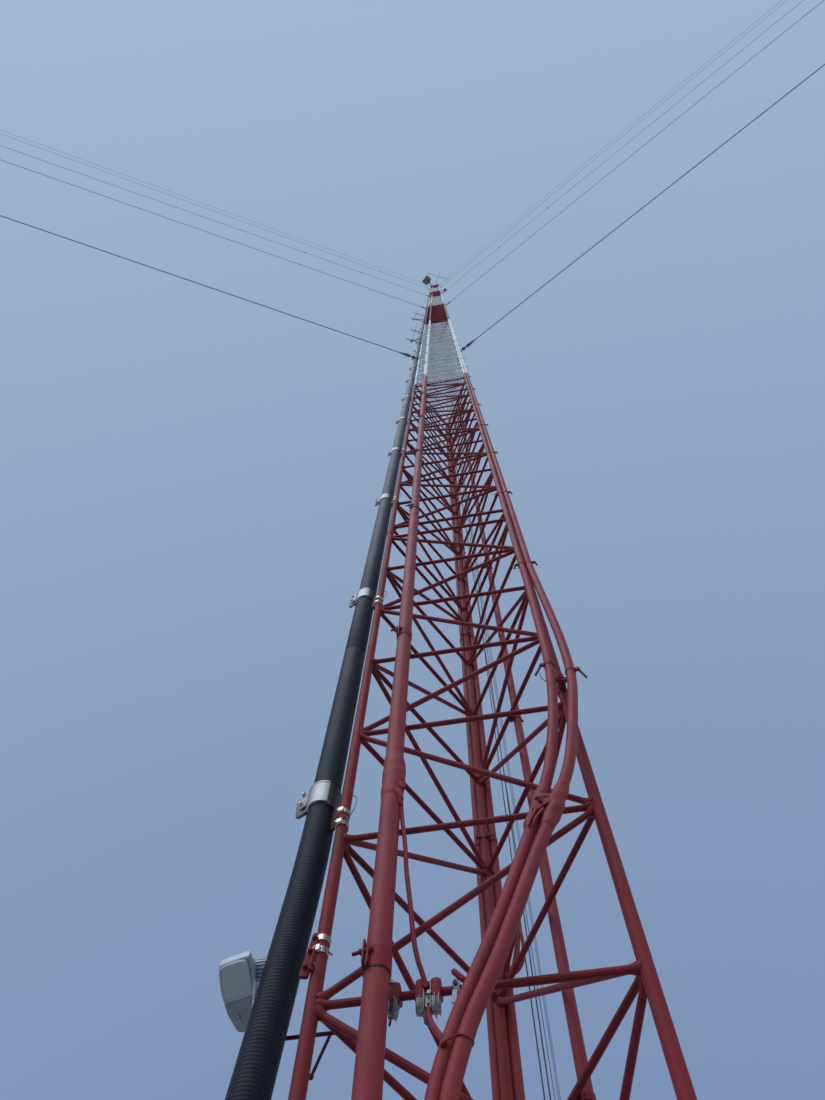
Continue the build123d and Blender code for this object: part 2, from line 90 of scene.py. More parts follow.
def add_node(tree, kind, inputs=None, **settings):
    """A new shader node with its settings and inputs; its outputs are given back."""
    node = tree.nodes.new("ShaderNode" + kind)
    for label, value in settings.items():
        setattr(node, label, value)
    feed(tree, node, inputs or {})
    return node.outputs


def calc(tree, operation, first, second=0.0):
    """One step of arithmetic."""
    return add_node(tree, "Math", {0: first, 1: second}, operation=operation)[0]


def mix_colour(tree, factor, first, second):
    """The first colour where the factor is 0 and the second where it is 1."""
    return add_node(tree, "Mix", {"Factor": factor, "A": first, "B": second}, data_type="RGBA")["Result"]


def height_of(tree):
    """The height on the object, in metres."""
    return add_node(tree, "SeparateXYZ", {"Vector": add_node(tree, "TexCoord")["Object"]})["Z"]


print("node tools ready")

# %% [markdown]
# The day was overcast, so light comes from the whole sky and hardly any from the ground: undersides are dark.
# A world shader can tell what looks at it. Camera and glossy rays see a pale blue-grey that deepens a little
# towards one side, as an overcast sky does away from the sun, and diffuse rays see a soft white light. The
# floor does the same, so that it is pale to look at and throws little light up.

# %% Sky, floor and sun
SKY_SEEN = (0.195, 0.285, 0.465, 1)
SKY_PALE = (0.355, 0.480, 0.630, 1)
SKY_FADE = (-0.3, 0.8)
SKY_LIGHT = (0.86, 0.93, 1.0)
SKY_STRENGTH = 1.2
FLOOR_SEEN = (0.62, 0.64, 0.66, 1)
FLOOR_LIT = (0.16, 0.155, 0.15, 1)
FLOOR_ROUGHNESS = 0.9
FLOOR_HALF = 30.0
SUN_STRENGTH = 1.4
SUN_SPREAD = 50.0
SUN_TURN = (38.0, 0.0, -28.0)


def seen_or_lit(tree, seen, lit):
    """A colour that camera, glossy and transmission rays read as seen, and all other rays as lit."""
    rays = add_node(tree, "LightPath")
    mirrored = calc(tree, "MAXIMUM", rays["Is Camera Ray"], rays["Is Glossy Ray"])
    return mix_colour(tree, calc(tree, "MAXIMUM", mirrored, rays["Is Transmission Ray"]), lit, seen)


world = bpy.data.worlds.new("overcast")
world.use_nodes = True
bpy.context.scene.world = world
sky = world.node_tree
sideways = add_node(sky, "SeparateXYZ", {"Vector": add_node(sky, "TexCoord")["Generated"]})["Y"]
fade = add_node(sky, "MapRange",
                {"From Min": SKY_FADE[0], "From Max": SKY_FADE[1], "Value": sideways})["Result"]
light = (*[channel * SKY_STRENGTH for channel in SKY_LIGHT], 1)
feed(sky, sky.nodes["Background"],
     {"Color": seen_or_lit(sky, mix_colour(sky, fade, SKY_PALE, SKY_SEEN), light)})

floor_mesh = bpy.data.meshes.new("floor")
corners = [(x * FLOOR_HALF, y * FLOOR_HALF, 0) for x, y in ((-1, -1), (1, -1), (1, 1), (-1, 1))]
floor_mesh.from_pydata(corners, [], [(0, 1, 2, 3)])
floor = bpy.data.objects.new("floor", floor_mesh)
bpy.context.collection.objects.link(floor)
ground = bpy.data.materials.new("ground")
ground.use_nodes = True
feed(ground.node_tree, ground.node_tree.nodes["Principled BSDF"],
     {"Roughness": FLOOR_ROUGHNESS, "Base Color": seen_or_lit(ground.node_tree, FLOOR_SEEN, FLOOR_LIT)})
floor_mesh.materials.append(ground)

sun_data = bpy.data.lights.new("sun", "SUN")
sun_data.energy = SUN_STRENGTH
sun_data.angle = math.radians(SUN_SPREAD)
sun = bpy.data.objects.new("sun", sun_data)
sun.rotation_euler = [math.radians(angle) for angle in SUN_TURN]
bpy.context.collection.objects.link(sun)
print("sky, floor and sun are in place")

# %% [markdown]
# Outdoor paint, zinc and plastic never have one flat colour. One node group makes that weathering for all of
# them: a broad noise for patches, a noise stretched along the height for rain streaks, and a fine one for
# grain. It gives out a colour, a roughness and a height, and each material plugs those into its own shader.

# %% Weathering group
STREAK_STRETCH = 0.06
STREAKS_PER_PATCH = 5.0
PATCH_EDGE, STREAK_EDGE = (0.35, 0.7), (0.3, 0.75)
STREAK_SHARE, PATCH_SHARE = 1.6, 0.35


def new_group(name, inputs, outputs):
    """A node group with the named sockets: its tree, what its input node gives out, and its output node."""
    tree = bpy.data.node_groups.new(name, "ShaderNodeTree")
    for label, kind, value in inputs:
        tree.interface.new_socket(label, in_out="INPUT",
                                  socket_type="NodeSocket" + kind).default_value = value
    for label, kind in outputs:
        tree.interface.new_socket(label, in_out="OUTPUT", socket_type="NodeSocket" + kind)
    return tree, tree.nodes.new("NodeGroupInput").outputs, tree.nodes.new("NodeGroupOutput")


def noise_at(tree, vector, scale, detail):
    """A noise of the given scale and detail."""
    return add_node(tree, "TexNoise", {"Vector": vector, "Scale": scale, "Detail": detail})["Fac"]


def ramp_between(tree, value, low, high):
    """The value stretched so that low gives 0 and high gives 1, with soft ends."""
    return add_node(tree, "MapRange", {"Value": value, "From Min": low, "From Max": high},
                    interpolation_type="SMOOTHSTEP")["Result"]


def swing(tree, noise, amount):
    """A noise, which lies about one half, made to lie about nought and scaled."""
    return calc(tree, "MULTIPLY", calc(tree, "SUBTRACT", noise, 0.5), amount)


def weathering_group():
    """Patches, streaks and grain over a clean colour."""
    tree, given, end = new_group(
        "weathering",
        [("Clean", "Color", (1, 1, 1, 1)), ("Dirt", "Color", (0, 0, 0, 1)), ("Dirt Amount", "Float", 0.3),
         ("Patch Scale", "Float", 60.0), ("Grain Scale", "Float", 900.0), ("Grain Amount", "Float", 0.1),
         ("Roughness", "Float", 0.5), ("Roughness Change", "Float", 0.15)],
        [("Color", "Color"), ("Roughness", "Float"), ("Height", "Float")])
    place = add_node(tree, "TexCoord")["Object"]
    stretched = add_node(tree, "Mapping", {"Vector": place, "Scale": (1, 1, STREAK_STRETCH)})["Vector"]
    patches = noise_at(tree, place, given["Patch Scale"], 4)
    streaks = noise_at(tree, stretched, calc(tree, "MULTIPLY", given["Patch Scale"], STREAKS_PER_PATCH), 3)
    grain = noise_at(tree, place, given["Grain Scale"], 2)
    both = calc(tree, "MULTIPLY", ramp_between(tree, patches, *PATCH_EDGE),
                ramp_between(tree, streaks, *STREAK_EDGE))
    whole = calc(tree, "ADD", calc(tree, "MULTIPLY", both, STREAK_SHARE),
                 calc(tree, "MULTIPLY", patches, PATCH_SHARE))
    soiled = mix_colour(tree, calc(tree, "MULTIPLY", whole, given["Dirt Amount"]), given["Clean"],
                        given["Dirt"])
    lighter = calc(tree, "ADD", calc(tree, "MULTIPLY", swing(tree, grain, given["Grain Amount"]), 2.0), 1.0)
    rough = calc(tree, "ADD", swing(tree, patches, given["Roughness Change"]), given["Roughness"])
    shaded = add_node(tree, "HueSaturation", {"Color": soiled, "Value": lighter})["Color"]
    feed(tree, end, {"Color": shaded, "Roughness": rough, "Height": grain})
    return tree


weathering = weathering_group()
print("weathering has", len(weathering.nodes), "nodes")

# %% [markdown]
# Masts are painted in broad bands of red and white so that pilots see them. The band follows from the height
# alone: a saw wave of the height, cut at one half, says which paint is on, and a little noise makes the edge
# hand-painted.

# %% Paint band group
BAND_COUNT = 7
BAND_EDGE_SCALE, BAND_EDGE_NOISE = 300.0, 0.004
mast_low, mast_high = (corner.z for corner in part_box("left_leg"))
band_height = (mast_high - mast_low) / BAND_COUNT


def band_group():
    """Red where the height falls in the first, third, fifth and seventh band, and white in the others."""
    tree, given, end = new_group(
        "paint_bands", [("Red", "Color", (1, 0, 0, 1)), ("White", "Color", (1, 1, 1, 1))],
        [("Color", "Color")])
    place = add_node(tree, "TexCoord")["Object"]
    wobble = swing(tree, noise_at(tree, place, BAND_EDGE_SCALE, 2), BAND_EDGE_NOISE)
    height = calc(tree, "SUBTRACT", calc(tree, "ADD", height_of(tree), wobble), mast_low)
    saw = calc(tree, "FRACT", calc(tree, "DIVIDE", height, 2 * band_height))
    feed(tree, end,
         {"Color": mix_colour(tree, calc(tree, "GREATER_THAN", saw, 0.5), given["Red"], given["White"])})
    return tree


paint_bands = band_group()
print("each paint band is", round(band_height, 3), "m high")

# %% [markdown]
# Corrugated cable keeps its rings under the jacket, and under paint too. The ring pattern is a cosine of the
# height, and it goes to the shader as height only. Close to the camera the rings are real geometry, further
# up they are bump.

# %% Ring group
def ring_group():
    """A smooth wave along the height, with the given pitch: (1 - cos(2 pi z / pitch)) / 2."""
    tree, given, end = new_group("cable_rings", [("Pitch", "Float", 0.001)], [("Height", "Float")])
    turns = calc(tree, "MULTIPLY", calc(tree, "DIVIDE", height_of(tree), given["Pitch"]), math.tau)
    wave = calc(tree, "MULTIPLY", calc(tree, "COSINE", turns), -0.5)
    feed(tree, end, {"Height": calc(tree, "ADD", wave, 0.5)})
    return tree


cable_rings = ring_group()
print("cable_rings has", len(cable_rings.nodes), "nodes")

# %% [markdown]
# The black jacket is drawn paler up the height. That paleness is painted reflection: higher up the cable is
# seen at a grazing angle and its jacket reflects the pale sky. The low part stays dark, so the clean colour
# goes from one to the other with the height.

# %% Sky sheen fade group
SKY_SHEEN_FROM, SKY_SHEEN_TO = 0.36, 1.6


def fade_group():
    """Dark up to the first height, painted sky reflection from the second on, and an even fade between."""
    tree, given, end = new_group(
        "sky_sheen_fade", [("Dark", "Color", (0, 0, 0, 1)), ("Sky Sheen", "Color", (1, 1, 1, 1))],
        [("Color", "Color")])
    fade = add_node(tree, "MapRange",
                    {"Value": height_of(tree), "From Min": SKY_SHEEN_FROM, "From Max": SKY_SHEEN_TO})
    feed(tree, end, {"Color": mix_colour(tree, fade["Result"], given["Dark"], given["Sky Sheen"])})
    return tree


sky_sheen_fade = fade_group()
print("the jacket turns chalky between", SKY_SHEEN_FROM, "and", SKY_SHEEN_TO, "m")

# %% [markdown]
# Each finish is one Principled shader fed by those groups. Metal, gloss and coat are set on the shader
# itself, and only what changes over the surface comes through a link.

# %% Finishes
RING_GRAIN = 0.2      # share of the grain that is left in the bump where a cable has rings


def finish_of(name, colour, dirt, roughness, metallic=0.0, dirt_amount=0.3, patch=60.0, grain=900.0,
              grain_amount=0.1, bump=0.1, bump_depth=0.0001, white=None, ring_pitch=None, coat=0.0,
              specular=0.5, sky_sheen=None):
    """Weathered material: white adds paint bands, ring_pitch rings, the sheen colour a painted sky reflection
    up high.
    """
    material = bpy.data.materials.new(name)
    material.use_nodes = True
    tree = material.node_tree
    clean = (*colour, 1)
    if white:
        clean = add_node(tree, "Group", {"Red": clean, "White": (*white, 1)}, node_tree=paint_bands)["Color"]
    if sky_sheen:
        clean = add_node(tree, "Group", {"Dark": clean, "Sky Sheen": (*sky_sheen, 1)},
                         node_tree=sky_sheen_fade)["Color"]
    wear = add_node(tree, "Group", {"Clean": clean, "Dirt": (*dirt, 1), "Dirt Amount": dirt_amount,
                                    "Patch Scale": patch, "Grain Scale": grain, "Grain Amount": grain_amount,
                                    "Roughness": roughness}, node_tree=weathering)
    height = wear["Height"]
    if ring_pitch:
        rings = add_node(tree, "Group", {"Pitch": ring_pitch}, node_tree=cable_rings)["Height"]
        height = calc(tree, "ADD", calc(tree, "MULTIPLY", height, RING_GRAIN), rings)
    normal = add_node(tree, "Bump", {"Strength": bump, "Distance": bump_depth, "Height": height})["Normal"]
    feed(tree, tree.nodes["Principled BSDF"],
         {"Metallic": metallic, "Coat Weight": coat, "Specular IOR Level": specular,
          "Base Color": wear["Color"], "Roughness": wear["Roughness"], "Normal": normal})
    return material


PAINT_RED = (0.160, 0.018, 0.028)
PAINT_WHITE = (0.56, 0.62, 0.72)
SOOT = (0.045, 0.035, 0.035)
DEEP = 0.0002         # depth of a coarse bump, in metres
mast_paint = finish_of("mast_paint", PAINT_RED, SOOT, 0.5, dirt_amount=0.28, patch=55, grain_amount=0.14,
                       bump=0.25, white=PAINT_WHITE, specular=0.06)
feeder_paint = finish_of("feeder_paint", (0.185, 0.028, 0.040), (0.09, 0.025, 0.032), 0.46, patch=70,
                         bump=0.08, white=PAINT_WHITE, ring_pitch=0.0011, specular=0.08)
# A darker copy of the mast's red, for arms and small parts seen in shade: painted shade.
dark_paint = finish_of("shaded_paint", (0.060, 0.014, 0.022), SOOT, 0.5, patch=55, grain_amount=0.14,
                       bump=0.25, specular=0.06)
# The jacket's paler upper colour is painted reflection of the sky.
coax_jacket = finish_of("coax_jacket", (0.009, 0.0125, 0.020), (0.022, 0.028, 0.040), 0.42, dirt_amount=0.4,
                        patch=45, bump=0.25, ring_pitch=0.00085, specular=0.05, sky_sheen=(0.150, 0.180, 0.250))
plain_black = finish_of("black_tie", (0.006, 0.006, 0.008), (0.02, 0.02, 0.022), 0.45, bump_depth=DEEP)
cast_aluminium = finish_of("cast_aluminium", (0.31, 0.33, 0.35), (0.26, 0.26, 0.27), 0.5, metallic=0.8,
                           dirt_amount=0.5, patch=160, grain=2600, bump=0.25)
stainless = finish_of("stainless", (0.38, 0.37, 0.35), (0.28, 0.24, 0.20), 0.28, metallic=1.0,
                      dirt_amount=0.35, patch=220, grain=3000, bump=0.15)
zinc = finish_of("zinc", (0.22, 0.26, 0.29), (0.12, 0.13, 0.13), 0.5, metallic=0.75, dirt_amount=0.45,
                 patch=120, grain=1600, grain_amount=0.2, bump=0.25)
stay_wire = finish_of("stay_wire", (0.07, 0.08, 0.10), (0.04, 0.04, 0.045), 0.55, metallic=0.5,
                      dirt_amount=0.5, bump_depth=DEEP)
bronze = finish_of("tinned_bronze", (0.105, 0.110, 0.115), (0.12, 0.10, 0.08), 0.34, metallic=0.9,
                   dirt_amount=0.5, patch=260, grain=2600, bump=0.4, bump_depth=DEEP)
radio_shell = finish_of("radio_shell", (0.35, 0.43, 0.52), (0.16, 0.17, 0.17), 0.42, patch=70, grain=2600,
                        grain_amount=0.05)
# The radio's lower plate takes this darker blue-grey as painted shade.
radio_shade = finish_of("radio_shade", (0.15, 0.20, 0.27), (0.09, 0.10, 0.11), 0.5, dirt_amount=0.45,
                        patch=110, grain=2600, grain_amount=0.06, bump=0.12)
# The dish shell's near-black is painted shade: the drum is seen from below in its own shadow.
dish_shell = finish_of("dish_shell", (0.09, 0.085, 0.09), (0.03, 0.03, 0.03), 0.5, dirt_amount=0.4, patch=20,
                       bump_depth=DEEP)
red_lens = finish_of("red_lens", (0.35, 0.03, 0.025), (0.08, 0.02, 0.02), 0.12, coat=0.6, patch=90, bump=0.05,
                     bump_depth=DEEP)
insulator_glaze = finish_of("insulator_glaze", (0.06, 0.045, 0.04), (0.03, 0.03, 0.03), 0.2, coat=0.5,
                            bump_depth=DEEP)

# Each finish is paired with the name of the slot that its solid has; a piece uses only the finish.
PAINT, FEEDER, SHADED = (mast_paint, "mast_paint"), (feeder_paint, "mast_paint"), (dark_paint, "mast_paint")
JACKET, BLACK = (coax_jacket, "coax_jacket"), (plain_black, "coax_jacket")
ZINC, DULL_ZINC = (zinc, "galvanised_steel"), (stay_wire, "galvanised_steel")
STAY, STEEL_BAND = (stay_wire, "stay_steel"), (stainless, "band_steel")
print("made", len(bpy.data.materials), "finishes")

# %% [markdown]
# A mast is hundreds of rods, bands and bolts, so each shape is worked out once with numpy for all of its
# copies. A shape here is three arrays: points, the point numbers of all faces in a row, and how many each
# face takes.

# %% Shape tools: rings and skins
UP, RIGHT, BACK, FRONT = (0, 0, 1), (1, 0, 0), (0, 1, 0), (0, -1, 0)
REFERENCE = np.array([0.46, -0.74, 0.49])     # a direction that no rod here runs along


def unit(vectors):
    """Vectors of length one."""
    vectors = np.asarray(vectors, float)
    return vectors / np.linalg.norm(vectors, axis=-1, keepdims=True)


def spin(corners):
    """Angles of the corners of a ring."""
    return np.arange(corners) * math.tau / corners


def round_about(axis, corners):
    """Directions cos t * side + sin t * up to a ring's corners: side = reference x axis, up = axis x side."""
    axis = unit(axis)
    side = unit(np.cross(REFERENCE, axis))
    angle = spin(corners)[:, None]
    return np.cos(angle) * side[..., None, :] + np.sin(angle) * np.cross(axis, side)[..., None, :]


def skins(rings):
    """Closed skins over rows of rings, (copies, rows, corners, 3).

    Corner k of row r is point r*s + k, a side face takes k and k+1 of row r and then of row r+1 backwards,
    and the first and the last row are closed by one face each.
    """
    copies, rows, corners, _ = rings.shape
    here, row = np.arange(corners), np.arange(rows - 1)[:, None] * corners
    after = (here + 1) % corners
    sides = np.stack([row + here, row + after, row + corners + after, row + corners + here], axis=-1)
    loops = np.concatenate([sides.ravel(), here[::-1], (rows - 1) * corners + here])
    sizes = np.concatenate([np.full((rows - 1) * corners, 4), [corners, corners]])
    loops = loops + np.arange(copies)[:, None] * rows * corners
    return rings.reshape(-1, 3), loops.ravel(), np.tile(sizes, copies)


def closed_skins(points):
    """Skins that close on themselves both ways, (copies, corners, places, 3)."""
    copies, corners, places, _ = points.shape
    here, place = np.arange(corners)[:, None], np.arange(places)
    after, beside = (here + 1) % corners * places, (place + 1) % places
    faces = np.stack([here * places + place, after + place, after + beside, here * places + beside], axis=-1)
    loops = faces.ravel() + np.arange(copies)[:, None] * corners * places
    return points.reshape(-1, 3), loops.ravel(), np.full(copies * corners * places, 4)


def tube(points, radius, corners):
    """Rings along paths, (copies, rows, 3), square to the path's slope."""
    points = np.asarray(points, float)
    points = points if points.ndim == 3 else points[None]
    radius = np.broadcast_to(np.asarray(radius, float), points.shape[:2])
    directions = round_about(np.gradient(points, axis=1), corners)
    return skins(points[..., None, :] + radius[..., None, None] * directions)


def rods(starts, ends, radius, corners):
    """Straight round rods between two lists of points."""
    return tube(np.stack([np.atleast_2d(starts), np.atleast_2d(ends)], axis=1), radius, corners)


def turned(starts, axis, profile, corners):
    """A profile of (distance, radius) turned round an axis: start + distance * axis + radius * direction."""
    starts = np.atleast_2d(np.asarray(starts, float))
    axis = np.broadcast_to(unit(axis), starts.shape)
    distance, radius = np.array(profile, float).T
    line = starts[:, None] + distance[:, None] * axis[:, None]
    return skins(line[:, :, None] + radius[None, :, None, None] * round_about(axis, corners)[:, None])


def band(centres, axis, inside, outside, height, round_off, corners):
    """A closed band about an axis, whose cross-section is a rectangle with its outer edges cut off."""
    half = height / 2
    outline = [(inside, -half), (outside - round_off, -half), (outside, -half + round_off),
               (outside, half - round_off), (outside - round_off, half), (inside, half)]
    centres = np.atleast_2d(np.asarray(centres, float))
    axis = np.broadcast_to(unit(axis), centres.shape)
    radius, rise = np.array(outline, float).T
    return closed_skins(centres[:, None, None] + radius[:, None] * round_about(axis, corners)[:, :, None]
                        + rise[:, None] * axis[:, None, None])


def prism(outline, low, high, bevel=0.0):
    """An anticlockwise outline of (x, y) raised from low to high, both ends drawn in by the bevel."""
    outline = np.asarray(outline, float)
    middle = outline.mean(axis=0)
    away = outline - middle
    drawn_in = middle + away * (1 - bevel / np.linalg.norm(away, axis=1, keepdims=True).max())
    rows = [(drawn_in, low), (outline, low + bevel), (outline, high - bevel), (drawn_in, high)]
    rows = rows if bevel else [(outline, low), (outline, high)]
    return skins(np.stack([np.column_stack([flat, np.full(len(flat), z)]) for flat, z in rows])[None])


def rounded(width, height, radius, steps=4):
    """A rectangle about the origin with rounded corners, anticlockwise."""
    corner = np.repeat([0, 1, 2, 3], steps + 1)
    angle = (corner + np.tile(np.arange(steps + 1) / steps, 4)) * math.pi / 2
    signs = np.array([(1, 1), (-1, 1), (-1, -1), (1, -1)])[corner]
    middle = signs * np.array([width / 2 - radius, height / 2 - radius])
    return middle + radius * np.column_stack([np.cos(angle), np.sin(angle)])


def curve(points, steps=8):
    """A smooth path: p1 + (p2-p0)t/2 + (2p0-5p1+4p2-p3)t^2/2 + (3p1-p0-3p2+p3)t^3/2 on each stretch."""
    points = np.asarray(points, float)
    whole = np.vstack([2 * points[0] - points[1], points, 2 * points[-1] - points[-2]])
    p0, p1, p2, p3 = (whole[i:len(whole) - 3 + i, None] for i in range(4))
    t = (np.arange(steps) / steps)[None, :, None]
    path = (p1 + (p2 - p0) * t / 2 + (2 * p0 - 5 * p1 + 4 * p2 - p3) * t**2 / 2
            + (3 * p1 - p0 - 3 * p2 + p3) * t**3 / 2)
    return np.vstack([path.reshape(-1, 3), points[-1]])


print("a ring of six has its corners at", np.round(np.degrees(spin(6))))

# %% [markdown]
# A shape is drawn once, flat and at the origin, then turned and moved to every place where it's wanted. All
# lengths in this part are millimetres of the model, and the mesh is made in metres.

# %% Shape tools: places and pieces
SMOOTH_BELOW = 34.0


def placed(shape, origin, x_axis=RIGHT, z_axis=UP):
    """The shape with its own axes laid along the given ones and its origin moved."""
    z_axis = unit(z_axis)
    x_axis = unit(np.asarray(x_axis, float) - np.dot(x_axis, z_axis) * z_axis)
    axes = np.stack([x_axis, np.cross(z_axis, x_axis), z_axis])
    return shape[0] @ axes + np.asarray(origin, float), shape[1], shape[2]


def join(*shapes):
    """Several shapes as one."""
    starts = np.cumsum([0] + [len(shape[0]) for shape in shapes[:-1]])
    return (np.vstack([shape[0] for shape in shapes]),
            np.concatenate([shape[1] + start for shape, start in zip(shapes, starts)]),
            np.concatenate([shape[2] for shape in shapes]))


def repeated(shape, places, turns=0.0):
    """Copies of a shape, each turned about +Z by an angle in degrees and moved to a place."""
    places = np.atleast_2d(np.asarray(places, float))
    turns = np.radians(np.broadcast_to(turns, len(places)))
    cos, sin, zero = np.cos(turns), np.sin(turns), np.zeros(len(places))
    axes = np.stack([np.stack([cos, sin, zero], 1), np.stack([-sin, cos, zero], 1),
                     np.stack([zero, zero, zero + 1], 1)], 1)
    points = shape[0] @ axes + places[:, None]
    loops = shape[1] + np.arange(len(places))[:, None] * len(shape[0])
    return points.reshape(-1, 3), loops.ravel(), np.tile(shape[2], len(places))


def block(size, ends, origin, x_axis=RIGHT, z_axis=UP, steps=4):
    """A plate with rounded corners: size is (width, height, corner), ends is (low, high, bevel) along z."""
    return placed(prism(rounded(*size, steps), *ends), origin, x_axis, z_axis)


def bent(points, radius, corners=6, steps=6):
    """A rod or wire along a smooth path through a few points."""
    return tube(curve(points, steps), radius, corners)


def bolt(length, radius, origin, z_axis, x_axis=RIGHT):
    """A hexagon bolt along its z axis from the origin: washer, head and a rounded tip."""
    washer = turned((0, 0, 0), UP, [(0, radius * 1.25), (0.16, radius * 1.25)], 14)
    hexagon = turned((0, 0, 0.16), UP, [(0, radius), (length * 0.8, radius), (length, radius * 0.82)], 6)
    return placed(join(washer, hexagon), origin, x_axis, z_axis)


def above(place, heights):
    """Points over one place of (x, y), at many heights."""
    return np.column_stack([np.tile(place, (len(heights), 1)), heights])


def make_piece(name, shapes, finish, *nodes):
    """A mesh object of the joined shapes that rides the frame and stands in for the named nodes."""
    points, loops, sizes = join(*shapes)
    mesh = bpy.data.meshes.new(name)
    mesh.vertices.add(len(points))
    mesh.vertices.foreach_set("co", (points * MM).astype(np.float32).ravel())
    mesh.loops.add(len(loops))
    mesh.loops.foreach_set("vertex_index", loops.astype(np.int32))
    mesh.polygons.add(len(sizes))
    mesh.polygons.foreach_set("loop_start", (np.cumsum(sizes) - sizes).astype(np.int32))
    mesh.update(calc_edges=True)
    mesh.validate()
    mesh.polygons.foreach_set("use_smooth", np.ones(len(mesh.polygons), bool))
    mesh.set_sharp_from_angle(angle=math.radians(SMOOTH_BELOW))
    mesh.materials.append(finish[0])
    piece = bpy.data.objects.new(name, mesh)
    bpy.context.collection.objects.link(piece)
    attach(piece, "root")
    if nodes:
        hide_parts(*nodes)
    print(name, len(sizes), "faces")


def box_of(name):
    """The two corners of a solid's box, in millimetres."""
    low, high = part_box(name)
    return np.array(low) / MM, np.array(high) / MM


# %% [markdown]
# Everything on the mast hangs from its levels: each section is a zigzag between horizontals, and two
# horizontals stand close together where one section is bolted on the next. These heights are worked out from
# the legs' box.

# %% Levels and leg places
SECTIONS = 14
BAYS = 12
SECTION_GAP = 18.0

leg_names = ("left", "right", "rear")
leg_at = np.array([np.add(*box_of(f"{name}_leg"))[:2] / 2 for name in leg_names])
leg_low, leg_high = box_of("left_leg")
leg_radius = (leg_high[1] - leg_low[1]) / 2
foot, head = leg_low[2], leg_high[2]
section_length = (head - foot) / SECTIONS
bay = (section_length - SECTION_GAP) / BAYS
levels = foot + np.arange(SECTIONS)[:, None] * section_length + SECTION_GAP / 2 + np.arange(BAYS + 1) * bay
joints = foot + np.arange(1, SECTIONS) * section_length
print("levels of the first section:", np.round(levels[0][:3], 1), "mm, joints every", section_length, "mm")

# %% [markdown]
# A leg is a solid round bar. Where two sections meet it has a sleeve in two halves, seen as a slightly
# thicker stretch with a fine groove at the joint.

# %% Legs
LEG_CORNERS = 20
SLEEVE_HALF, SLEEVE_EXTRA = 3.2, 0.22
SLEEVE_EDGE, GROOVE_HALF = 0.2, 0.15


def leg_profile():
    """The bar, with a short thicker sleeve at each section joint: (distance up, radius)."""
    thick, rows = leg_radius + SLEEVE_EXTRA, [(0.0, leg_radius)]
    for joint in joints - foot:
        rows += [(joint - SLEEVE_HALF, leg_radius), (joint - SLEEVE_HALF + SLEEVE_EDGE, thick),
                 (joint - GROOVE_HALF, thick), (joint, leg_radius), (joint + GROOVE_HALF, thick),
                 (joint + SLEEVE_HALF - SLEEVE_EDGE, thick), (joint + SLEEVE_HALF, leg_radius)]
    return rows + [(head - foot, leg_radius)]


for name, place in zip(leg_names, leg_at):
    make_piece(f"{name}_leg_bar", [turned((*place, foot), UP, leg_profile(), LEG_CORNERS)], PAINT,
               f"{name}_leg")

# %% [markdown]
# Each face is braced by round rods. A horizontal sits at every level, and a diagonal climbs each bay, first
# one way and then the other. The ends are welded to the leg, so a small lump of weld sits at both ends of
# every rod.

# %% Bracing
ROD_RADIUS = 0.8
ROD_CORNERS, WELD_CORNERS = 10, 12
ROD_SINK = 0.6             # how far a rod's end reaches into the leg, in leg radii from its centre
DIAGONAL_CLEAR = 1.2
WELD_START = 0.1
WELD_PROFILE = [(0.0, 1.38), (0.7, 1.38 * 0.93), (1.2, 1.38 * 0.8), (1.9, ROD_RADIUS * 1.1),
                (3.0, ROD_RADIUS * 0.94)]
FACES = (("front_bracing", 0, 1), ("right_bracing", 1, 2), ("left_bracing", 2, 0))


def face_rods(first, second):
    """Ends of the horizontals and the diagonals of one face, each (count, 3)."""
    along = unit(leg_at[second] - leg_at[first])
    near = leg_at[first] + along * leg_radius * ROD_SINK
    far = leg_at[second] - along * leg_radius * ROD_SINK
    low, high = levels[:, :-1].ravel() + DIAGONAL_CLEAR, levels[:, 1:].ravel() - DIAGONAL_CLEAR
    rising = np.tile(np.arange(BAYS) % 2 == 0, SECTIONS)[:, None]
    bottom = np.column_stack([np.where(rising, near, far), low])
    top = np.column_stack([np.where(rising, far, near), high])
    return np.vstack([above(near, levels.ravel()), bottom]), np.vstack([above(far, levels.ravel()), top])


def weld_lumps(starts, ends):
    """A flare at the end of each rod that starts inside the leg and fades into the rod."""
    axis = unit(ends - starts)
    return turned(starts + axis * WELD_START, axis, WELD_PROFILE, WELD_CORNERS)


for name, first, second in FACES:
    starts, ends = face_rods(first, second)
    lattice = [rods(starts, ends, ROD_RADIUS, ROD_CORNERS), weld_lumps(starts, ends),
               weld_lumps(ends, starts)]
    make_piece(name + "_rods", lattice, PAINT, name)

# %% [markdown]
# The thick black line is a corrugated coaxial cable. Its jacket shows the rings of the tube inside, so near
# the camera the skin is a wave in radius along the height, and above that the wave is left to the finish. Low
# down the line stands further from the leg, and it leans from one distance to the other.

# %% Black coaxial line
RING_PITCH, RING_DEPTH = 0.85, 0.038
RING_TOP = 470.0
PLAIN_ROWS = 60
COAX_CORNERS = 28
LEAN_LOW, LEAN_HIGH = 250.3, 354.9
LEAN_BULGE, BULGE_WIDTH = 0.03, 0.06      # how far the bends round over, and how long they are, in leans
LEAN_REACH = 0.12

coax_low, coax_high = box_of("black_coax")
coax_radius = (coax_high[1] - coax_low[1]) / 2
coax_at = np.array([coax_high[0] - coax_radius, (coax_low[1] + coax_high[1]) / 2])
coax_lean = coax_high[0] - coax_low[0] - 2 * coax_radius


def coax_line(heights):
    """Points whose x moves out by the lean as (LEAN_HIGH - z) / (LEAN_HIGH - LEAN_LOW) goes from 0 to 1."""
    out = np.clip((LEAN_HIGH - heights) / (LEAN_HIGH - LEAN_LOW), -LEAN_REACH, 1 + LEAN_REACH)
    soft = (np.clip(out, 0, 1) + LEAN_BULGE * np.exp(-(out / BULGE_WIDTH) ** 2)
            - LEAN_BULGE * np.exp(-((out - 1) / BULGE_WIDTH) ** 2))
    return np.column_stack([coax_at[0] - coax_lean * soft, np.full(len(heights), coax_at[1]), heights])


